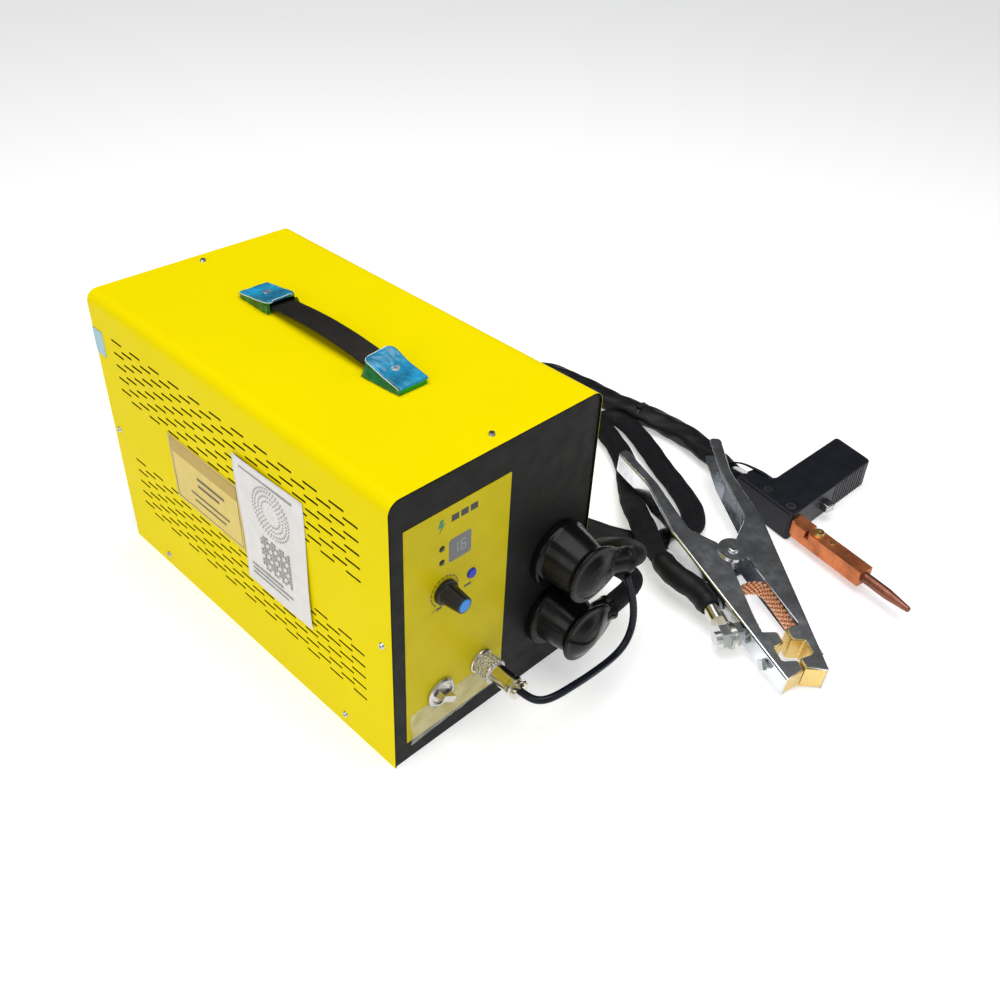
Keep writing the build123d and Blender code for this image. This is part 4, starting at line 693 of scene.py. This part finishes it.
clamp_ahead = Vector((
    cos(CLAMP_HEADING) * cos(CLAMP_PITCH), sin(CLAMP_HEADING) * cos(CLAMP_PITCH),
    -sin(CLAMP_PITCH)))
clamp_up = Vector((
    cos(CLAMP_HEADING) * sin(CLAMP_PITCH), sin(CLAMP_HEADING) * sin(CLAMP_PITCH),
    cos(CLAMP_PITCH)))
clamp_across = clamp_up.cross(clamp_ahead)
gun_ahead = Vector((cos(GUN_HEADING), sin(GUN_HEADING), 0))
gun_across = Vector((0, 0, 1)).cross(gun_ahead)


def clamp_point(x, y, z):
    return (CLAMP_AT + clamp_ahead * x + clamp_across * y + clamp_up * z) * MM


def gun_point(x, y, z):
    return (GUN_AT + gun_ahead * x + gun_across * y + Vector((0, 0, z))) * MM


# ---------------- clamp braid and spring
BRAID_STEP = 0.5
BRAID_WIDTH = 17.2
BRAID_PITCH = 5.2


def build_braid(looks):
    """Flat copper braid that loops back between the jaws, with raised crossing strands."""
    route = [
        (93, -15.6), (80, -15), (64, -14), (50, -13), (40, -11), (37.3, -3), (37.3, 5), (40.5, 12), (50, 14),
        (62, 15), (78, 16), (93, 16.4)]
    line = smooth_line([clamp_point(x, y, CLAMP_MID) for x, y in route], BRAID_STEP)
    half_width = BRAID_WIDTH / 2 * MM
    rows = 44
    verts = []
    strand_light_heights = []
    for face_side in (1, -1):
        for i, point in enumerate(line):
            ahead = (line[min(i + 1, len(line) - 1)] - line[max(i - 1, 0)]).normalized()
            outward = ahead.cross(clamp_up).normalized()
            for k in range(rows + 1):
                across = (k / rows * 2 - 1) * half_width
                rise = braid_rise(i * BRAID_STEP, across / MM)
                strand_light_heights.append(rise)
                edge = 1 - (abs(across) / half_width) ** 6
                verts.append(
                    point + clamp_up * across + outward * face_side * (0.5 + 1.3 * rise) * edge * MM)
    faces = grid_faces(len(line) - 1, rows)
    count = len(line) * (rows + 1)
    faces += [tuple(count + corner for corner in face)[::-1] for face in faces]
    braid = mesh_piece("braid_woven", verts, faces, looks["braid"], None)
    # the strand heights go to the material, which paints shade in the gaps and a highlight on the crowns
    braid.data.attributes.new("painted_strand_light", "FLOAT", "POINT").data.foreach_set("value", strand_light_heights)
    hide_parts("clamp_braid")
    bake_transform(braid)


def braid_rise(along, across):
    """Height of two families of strands that pass over and under each other, 0 to 1."""
    one = (along + across) / BRAID_PITCH
    two = (along - across) / BRAID_PITCH
    over = sin(pi * one) * sin(pi * two) > 0
    strand = abs(cos(pi * (one if over else two)))
    return 0.15 + 0.85 * (1 - strand ** 3)


def build_spring(looks):
    """Torsion spring: five close turns round the rivet and a leg along each handle."""
    turns, pitch, radius, wire = 5, 2.5, 7.9, 1.1
    bottom = CLAMP_MID - turns * pitch / 2
    line = [clamp_point(-62, -41, bottom), clamp_point(-30, -24, bottom), clamp_point(-8, -10, bottom)]
    steps = 40 * turns + 20
    for i in range(steps + 1):
        angle = radians(-115) + 2 * pi * (turns + 0.36) * i / steps
        level = bottom + turns * pitch * i / steps
        line.append(clamp_point(radius * cos(angle), radius * sin(angle), level))
    top = bottom + turns * pitch
    line += [clamp_point(-8, 10, top), clamp_point(-30, 24, top), clamp_point(-62, 41, top)]
    spring = tube("spring_wire", line, round_wire(wire), looks["bolts"], 10, body=None)
    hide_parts("clamp_spring")
    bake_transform(spring)


# ---------------- handle
def build_strap(looks):
    """The carrying strap: fine ribs along a moulded band, arched between the end caps."""
    low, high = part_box("handle_strap")
    middle_x = (low[0] + high[0]) / 2
    half_width = (high[0] - low[0]) / 2
    thick, groove_depth, edge_round = 3.0 * MM, 0.4 * MM, 0.9 * MM
    rise = high[2] - low[2] - thick
    ribs = 17
    stations = 72
    columns = ribs * 5
    verts = []
    for i in range(stations + 1):
        y = high[1] * (2 * i / stations - 1)
        base = low[2] + rise * (1 - (y / high[1]) ** 2)
        for k in range(columns + 1):
            across = k / columns * 2 - 1
            groove = groove_depth * (1 - abs(sin(pi * ribs * (across + 1) / 2))) ** 2
            edge = edge_round * abs(across) ** 12
            verts.append((middle_x + across * half_width, y, base + thick - groove - edge))
        for k in range(columns, -1, -1):
            across = k / columns * 2 - 1
            verts.append((middle_x + across * half_width, y, base + edge_round * abs(across) ** 12))
    ring = 2 * (columns + 1)
    faces = [face[::-1] for face in ring_faces(stations + 1, ring)]
    faces.append(tuple(range(ring)))
    faces.append(tuple(stations * ring + k for k in range(ring))[::-1])
    strap = mesh_piece("strap_ribbed", verts, faces, looks["strap"], "carry_strap")
    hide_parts("handle_strap")


# ---------------- terminal boots
BOOT_X = 64.5
FRONT_Y = -185.0
# along the axis from the panel: distance, radius, lift of the centre, share of the pull towards the tail
BOOT_STATIONS = [
    (-0.9, 0.1, 0, 0), (-0.9, 28.4, 0, 0), (5.2, 28.4, 0, 0), (6.2, 27.6, 0, 0), (6.6, 25.0, 2.6, 0),
    (9.0, 24.6, 2.4, 0), (20, 22.9, 1.4, 0), (31.0, 20.8, 0.3, 0), (33.2, 20.6, 0, 0.3),
    (34.4, 22.6, -0.2, 0.8), (35.6, 24.2, -0.3, 1), (37.4, 24.3, -0.3, 1), (38.3, 23.4, -0.3, 1),
    (38.6, 21.6, -0.3, 0.95), (39.0, 19.6, -0.4, 0.8), (40.6, 17.2, -0.6, 0.5), (43.0, 13.2, -0.6, 0.2),
    (45.0, 8.6, -0.6, 0), (45.9, 4.0, -0.6, 0), (46.1, 0.1, -0.6, 0)]


def build_boot(looks, name, node, level, mouth):
    """A soft rubber boot: lipped base, tapered body, round face with a crown, and a swept tail."""
    sides = 96
    centre = Vector((BOOT_X, 0, level))
    towards = Vector(mouth) - centre
    pull_angle = atan2(towards.z, towards.x)
    verts = []
    for distance, radius, lift, pull in BOOT_STATIONS:
        for k in range(sides):
            angle = 2 * pi * k / sides
            near = max(0.0, cos(angle - pull_angle)) ** 4
            reach = radius + 9.5 * pull * near
            across, high = reach * cos(angle), reach * sin(angle)
            verts.append(Vector((BOOT_X + across, FRONT_Y - distance, level + lift + high)) * MM)
    faces = ring_faces(len(BOOT_STATIONS), sides)
    faces.append(tuple(range(sides)))
    faces.append(tuple((len(BOOT_STATIONS) - 1) * sides + k for k in range(sides))[::-1])
    boot = mesh_piece(name, verts, faces, looks["rubber"], None)
    start = Vector((BOOT_X + 8, FRONT_Y - 26.5, level))
    end = Vector(mouth)
    knee = start.lerp(end, 0.55) + Vector((0, -0.6, 1.0))
    line = smooth_line(metres([start, knee, end.lerp(knee, 0.25), end]), 0.8)

    def section(share, angle, distance):
        radius = 9.8 + 0.4 * eased(share, 0.3, 0.7) + 0.8 * eased(share, 0.86, 0.93)
        return radius * MM * cos(angle), radius * 0.94 * MM * sin(angle)

    tail = tube(name + "_tail", line, section, looks["rubber"], body=None)
    merge(boot, tail)
    remesh = boot.modifiers.new("skin", "REMESH")
    remesh.mode = "VOXEL"
    remesh.voxel_size = 0.75 * MM
    remesh.use_smooth_shade = True
    relax = boot.modifiers.new("relax", "SMOOTH")
    relax.factor = 0.5
    relax.iterations = 4
    apply_modifiers(boot)
    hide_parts(node)
    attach(boot, "welder")


def merge(piece, other):
    """Add another piece's mesh to this one and drop the other."""
    joined = bmesh.new()
    joined.from_mesh(piece.data)
    joined.from_mesh(other.data)
    bmesh.ops.recalc_face_normals(joined, faces=joined.faces)
    joined.to_mesh(piece.data)
    joined.free()
    bpy.data.objects.remove(other)


def crease(x, y, scale, seed):
    """A repeatable crumple height, about -1 to 1: facets that meet at ridges."""
    total = 0.0
    for turn in range(5):
        angle = seed + turn * 1.37
        along = x * cos(angle) + y * sin(angle)
        wobble = sin(y * scale * 0.7 + turn) * cos(x * scale * 0.6 - turn)
        total += abs(sin(along * scale * (0.5 + 0.33 * turn) + 1.6 * wobble + turn)) / (1 + 0.5 * turn)
    return total / 1.5 - 1


def sheet(name, rows, columns, place, material, thick):
    """A thin sheet; place(down, along) gives its points for shares from 0 to 1. Returns the points."""
    verts = [place(i / rows, k / columns) for i in range(rows + 1) for k in range(columns + 1)]
    piece = mesh_piece(name, verts, grid_faces(rows, columns), material)
    solid = piece.modifiers.new("thickness", "SOLIDIFY")
    solid.thickness = thick * MM
    solid.offset = 0
    apply_modifiers(piece)
    return verts


# in millimetres
FILM_THICK = 0.06
PAPER_THICK = 0.1
COVER_THICK = 0.05
RIM_R = 0.32


def build_cap_films(looks):
    """Blue protective film on the handle's end caps, with crumpled and lifted edges."""
    rows, columns = 56, 40
    for name, node, sign, lift in (
            ("film_front", "handle_cap_front", -1, 3.2), ("film_rear", "handle_cap_rear", 1, 0.6)):
        low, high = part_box(node)
        inner_y, outer_y = sign * 0.0575, sign * 0.098

        def place(share, aside):
            y = inner_y + (outer_y - inner_y) * share
            across = aside * 2 - 1
            inner = max(0.0, 1 - share / 0.14)
            x = (low[0] + high[0]) / 2 + across * (13.6 - 4.2 * (1 - sqrt(1 - inner ** 2))) * MM
            wave = crease(x / MM, y / MM, 0.34, 1.3 + sign)
            top = low[2] + (10.5 - 5.5 * share) * MM + (0.45 + 0.28 * wave) * MM
            top += lift * (1 - eased(share, 0, 0.55)) * (0.7 + 0.3 * across) * MM
            droop = eased(abs(across), 0.93, 1.0) * 1.6 + eased(share, 0.95, 1.0) * 1.4
            droop *= 1 - 0.8 * (lift > 1) * (1 - share)
            return x, y + 0.25 * wave * MM, top - droop * MM

        verts = sheet(name, rows, columns, place, looks["blue_film"], FILM_THICK)
        row = columns + 1
        edge = [verts[i * row] for i in range(rows, -1, -1)] + verts[1:row]
        edge = evenly([Vector(v) for v in edge], 0.8 * MM)
        # a rolled rim along the lifted film edge, coloured pale: a painted highlight where the edge catches
        # the light
        tube(name + "_rim_highlight", edge, round_wire(RIM_R), looks["film_edge_highlight"], 8)


def build_film_flaps(looks):
    """Loose green-tinted edges of the film, hanging beside the caps and curling at the ends."""
    low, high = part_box("handle_cap_front")
    flaps = [
        ("flap_front", low[0] - 0.4 * MM, -1, -0.060, -0.0985, 8.6, 4.6, 4.2),
        ("flap_rear", low[0] - 0.3 * MM, -1, 0.0575, 0.0965, 7.6, 4.2, 0.7),
        ("flap_corner", high[0] + 0.3 * MM, 1, 0.0565, 0.064, 7.0, 4.0, 2.8)]
    for name, x, side, y_from, y_to, top_from, top_to, reach in flaps:
        def place(share, fall):
            y = y_from + (y_to - y_from) * share
            top = top_from + (top_to - top_from) * share
            wave = crease(y / MM, fall * 7, 0.5, 0.4)
            out = side * (reach * fall * (1 - 0.75 * share) + 0.5 * wave * fall)
            return x + out * MM, y + 0.4 * wave * fall * MM, low[2] + (0.5 + top * (1 - fall)) * MM

        sheet(name, 44, 12, place, looks["green_film"], FILM_THICK)


def apply_modifiers(piece):
    graph = bpy.context.evaluated_depsgraph_get()
    mesh = bpy.data.meshes.new_from_object(piece.evaluated_get(graph))
    piece.modifiers.clear()
    piece.data = mesh


# ---------------- gun trim, in the gun's own frame
GUN_WIRES = {
    "gun_wire_a": [
        (-104, 17, 23), (-94, 19.5, 29), (-84, 20, 32.2), (-72, 22.5, 33.4), (-60, 25, 33.3),
        (-52, 27, 31.2)],
    "gun_wire_b": [
        (-104, 15, 24), (-93, 16.5, 31), (-82, 18, 33.6), (-70, 20.5, 33.6), (-60, 23, 33.5),
        (-54, 25.5, 31.5)]}
GUN_SPLICE = [(-90, 8, 29.5), (-84, 9, 31.5), (-76, 10, 31.5), (-71, 10.5, 31)]
GUN_SCREWS = [(-42.9, 10.5), (-12.2, 10.6)]
WIRE_R = 0.9
# radius and height of the hexagon sockets in the two screws
SOCKET_PROFILE = [(0.01, 31.85), (2.9, 31.85), (2.9, 32.1), (3.5, 32.1), (3.5, 31.6)]
# the tie: its place on the sleeve, half the sleeve's width and height there, and its own section
TIE_AT = (417, -8, 11)
TIE_HALF = (13.6, 9.7)
TIE_PROFILE = [(-2.2, 0), (-2.2, 0.9), (-1.6, 1.3), (1.6, 1.3), (2.2, 0.9), (2.2, 0)]


def build_gun_trim(looks):
    """By the gun: two thin trigger wires, a pale splice, a cable tie and the sockets of two screws."""
    for name, route in GUN_WIRES.items():
        line = smooth_line([gun_point(*p) for p in route], 1.0)
        tube(name, line, round_wire(WIRE_R), looks["lead"], 12)
    splice = smooth_line([gun_point(*p) for p in GUN_SPLICE], 0.6)

    def pad(share, angle, distance):
        swell = sin(pi * min(1, max(0, share))) ** 0.5
        return (3.2 * swell + 0.1) * MM * cos(angle), (1.5 * swell + 0.1) * MM * sin(angle)

    tube("gun_splice", splice, pad, looks["splice"], 20)
    gun_line = smooth_line(metres(GUN_ROUTE), 1.0)
    tie_at = Vector(TIE_AT) * MM
    nearest = min(range(len(gun_line)), key=lambda i: (gun_line[i] - tie_at).length)
    centre = gun_line[nearest]
    ahead = (gun_line[nearest + 1] - gun_line[nearest - 1]).normalized()
    side = Vector((0, 0, 1)).cross(ahead).normalized()
    upward = ahead.cross(side)
    steps = 64
    verts = []
    for i in range(steps):
        angle = 2 * pi * i / steps
        for along, rise in TIE_PROFILE:
            verts.append(
                centre + ahead * along * MM + side * (TIE_HALF[0] + rise) * cos(angle) * MM
                + upward * (TIE_HALF[1] + rise) * sin(angle) * MM)
    count = len(TIE_PROFILE)
    faces = []
    for i in range(steps):
        here, there = i * count, (i + 1) % steps * count
        for k in range(count):
            n = (k + 1) % count
            faces.append((here + k, here + n, there + n, there + k))
    mesh_piece("gun_tie", verts, faces, looks["black"])
    head = centre + upward * 12.0 * MM + side * -4 * MM
    line = [head - side * 4 * MM, head, head + side * 4 * MM, head + side * 9 * MM - upward * 1.5 * MM]

    def block(share, angle, distance):
        corner = max(abs(cos(angle)), abs(sin(angle)))
        width = 3.0 - 1.6 * eased(share, 0.5, 0.62)
        return width * cos(angle) / corner * MM, 1.5 * sin(angle) / corner * MM

    tube("gun_tie_head", evenly(line, 0.7 * MM), block, looks["black"], 24)
    for number, (x, y) in enumerate(GUN_SCREWS):
        rings = []
        for radius, z in SOCKET_PROFILE:
            turns = [radians(60 * k + 12) for k in range(6)]
            rings += [gun_point(x + radius * cos(t), y + radius * sin(t), z) for t in turns]
        faces = ring_faces(len(SOCKET_PROFILE), 6)
        faces.append(tuple(range(6)))
        mesh_piece("gun_socket_" + str(number), rings, faces, looks["black"], smooth=False)


# ---------------- label, display and stickers
LABEL_FACE = -184.4
DIGITS_FACE = -184.5
SIDE_FACE = -100.0
KNOB_AT = (-51.7, 150.0)


def raised(name, outlines, place, material, thick):
    """Thin raised shapes: place(u, v, depth) puts a point of an outline into the frame, in millimetres."""
    verts = []
    faces = []
    for outline in outlines:
        start = len(verts)
        count = len(outline)
        for depth in (0.0, thick):
            verts += [Vector(place(u, v, depth)) * MM for u, v in outline]
        faces.append(tuple(start + count + k for k in range(count)))
        faces.append(tuple(start + k for k in range(count))[::-1])
        for k in range(count):
            n = (k + 1) % count
            faces.append((start + k, start + n, start + count + n, start + count + k))
    mesh_piece(name, verts, faces, material, smooth=False)


def front_print(name, outlines, y, material, thick=0.06):
    """Flat shapes on the front panel; outlines are lists of (x, z)."""
    raised(name, outlines, lambda x, z, depth: (x, y - depth, z), material, thick)


def side_print(name, boxes, x, material):
    """Flat bars on the left side; boxes are (y, z, length along -Y, height)."""
    outlines = [bar(y, z, -length, height) for y, z, length, height in boxes]
    raised(name, outlines, lambda y, z, depth: (x - depth, y, z), material, 0.05)


def arc_band(centre, inner, outer, start, end, steps=6):
    """A piece of a ring, as an outline; angles in degrees, clockwise from the top."""
    def place(radius, angle):
        return centre[0] + radius * sin(angle), centre[1] + radius * cos(angle)
    angles = [radians(start + (end - start) * i / steps) for i in range(steps + 1)]
    return [place(outer, a) for a in angles] + [place(inner, a) for a in reversed(angles)]


def bar(x, z, width, height):
    return [(x, z), (x + width, z), (x + width, z + height), (x, z + height)]


def build_label_print(looks):
    """Printed marks: a dashed scale round the knob, a plain badge and blank caption bars."""
    dashes = [arc_band(KNOB_AT, 12.0, 12.9, -140 + 18 * i, -140 + 18 * i + 12) for i in range(16)]
    captions = [bar(-63.5, 136.2, 3.2, 0.5), bar(-59.6, 135.4, 5.4, 1.9), bar(-33, 141.4, 6.6, 1.9)]
    captions += [bar(-61.5, 35.2, 4.2, 1.5), bar(-52, 35.2, 4.6, 1.5)]
    captions += [bar(-46 + 8.6 * i, 207.4, 6.8, 5.4) for i in range(3)]
    front_print("label_marks", dashes + captions, LABEL_FACE, looks["ink"])
    bolt = [
        (-56.2, 213.5), (-52.4, 213.5), (-54.0, 209.6), (-51.4, 209.6), (-57.0, 202.4), (-55.4, 207.6),
        (-58.2, 207.6)]
    front_print("label_badge", [bolt], LABEL_FACE, looks["green_ink"])


# a digit's segments: x, z, width and height
SEGMENTS = {
    "a": (0.5, 8.6, 4.0, 0.9), "d": (0.5, 0.0, 4.0, 0.9), "g": (0.5, 4.3, 4.0, 0.9),
    "f": (0.0, 4.9, 0.9, 4.0), "b": (4.1, 4.9, 0.9, 4.0),
    "e": (0.0, 0.6, 0.9, 4.0), "c": (4.1, 0.6, 0.9, 4.0)}
DIGITS = {"1": "bc", "6": "afgedc"}


def build_display(looks):
    """Two dim seven-segment digits on the smoked window."""
    outlines = []
    for column, digit in enumerate("16"):
        for segment in DIGITS[digit]:
            x, z, width, height = SEGMENTS[segment]
            outlines.append(bar(-44.5 + 7.4 * column + x, 178.2 + z, width, height))
    front_print("display_digits", outlines, DIGITS_FACE, looks["segment"], thick=0.05)


def build_label_cover(looks):
    """Clear film that has come loose at the label's foot, creased and catching the light."""
    def place(share, across):
        x, z = -84.5 + 92.5 * across, 15.5 + 31 * share
        loose = 1 - eased(share, 0.15, 0.95)
        lift = 0.55 + 2.2 * loose * (0.45 + 0.55 * abs(crease(x, z, 0.11, 0.7)))
        return Vector((x + 0.8 * sin(z * 0.3), LABEL_FACE - lift, z + 6 * across * loose)) * MM

    sheet("label_loose_film", 36, 70, place, looks["clear_film"], COVER_THICK)


def sticker(name, rear, front, top, foot, material, lift, curl, seed=0.0):
    """A sticker on the left side between these y and z, lifted off it and curled at its edges."""
    def place(down, along):
        y = rear * (1 - along) + front * along
        z = top * (1 - down) + foot * down
        edge = max(abs(2 * along - 1), abs(2 * down - 1)) ** 8
        rise = lift + curl * edge * (0.5 + 0.5 * sin(3 * along + 5 * down + seed))
        return Vector((SIDE_FACE - rise, y, z)) * MM

    sheet(name, 30, 30, place, material, PAPER_THICK)


def build_stickers(looks):
    """Blank stickers on the left side: a cream one with an amber band, a white sheet, a pale blue one."""
    sticker("sticker_cream", 87, -10.5, 165.5, 102.5, looks["cream"], 0.2, 0.3)
    side_print("sticker_band", [(84, 149.5, 91.5, 12.5)], SIDE_FACE - 0.36, looks["amber"])
    border = [
        (84.5, 104.6, 93, 0.7), (84.5, 162.6, 93, 0.7), (84.5, 104.6, 0.7, 58.7), (-7.8, 104.6, 0.7, 58.7)]
    caption = [(50, 138, 38, 2.6), (50, 131, 30, 2.6), (62, 120, 54, 1.8), (58, 113.5, 44, 1.8)]
    side_print("sticker_lines", border + caption, SIDE_FACE - 0.42, looks["brown_ink"])
    sticker("sticker_paper", -12, -95, 199, 80, looks["paper"], 0.5, 1.6, 1.1)
    rows = [(-18, 189, 64, 1.6), (-20, 98, 40, 1.4), (-20, 93.5, 52, 1.4), (-20, 89, 46, 1.4)]
    for radius, count in ((11, 22), (15, 30), (19, 38), (22, 44)):
        turns = [2 * pi * k / count for k in range(count)]
        rows += [(-53 + radius * cos(t), 164 + radius * sin(t), 1.3, 1.3) for t in turns]
    rows += [
        (-36 - 3.4 * i, 104 + 3.4 * k, 2.3, 2.3)
        for i in range(11) for k in range(10) if (i * k + i + 2 * k) % 3]
    side_print("paper_lines", rows, SIDE_FACE - 1.1, looks["grey_ink"])
    sticker("sticker_small", 185, 170, 219, 195.5, looks["pale_blue"], 0.2, 0.2)


def main():
    looks = build_materials()
    make_camera()
    make_studio()
    build_clamp_cable(looks)
    build_gun_cable(looks)
    build_control_lead(looks)
    paint_nodes(looks)
    build_braid(looks)
    build_spring(looks)
    build_strap(looks)
    build_boot(looks, "boot_upper", "upper_boot", 119.0, GUN_ROUTE[0])
    build_boot(looks, "boot_lower", "lower_boot", 57.0, CLAMP_ROUTE[0])
    build_cap_films(looks)
    build_film_flaps(looks)
    build_gun_trim(looks)
    build_label_print(looks)
    build_display(looks)
    build_label_cover(looks)
    build_stickers(looks)


main()
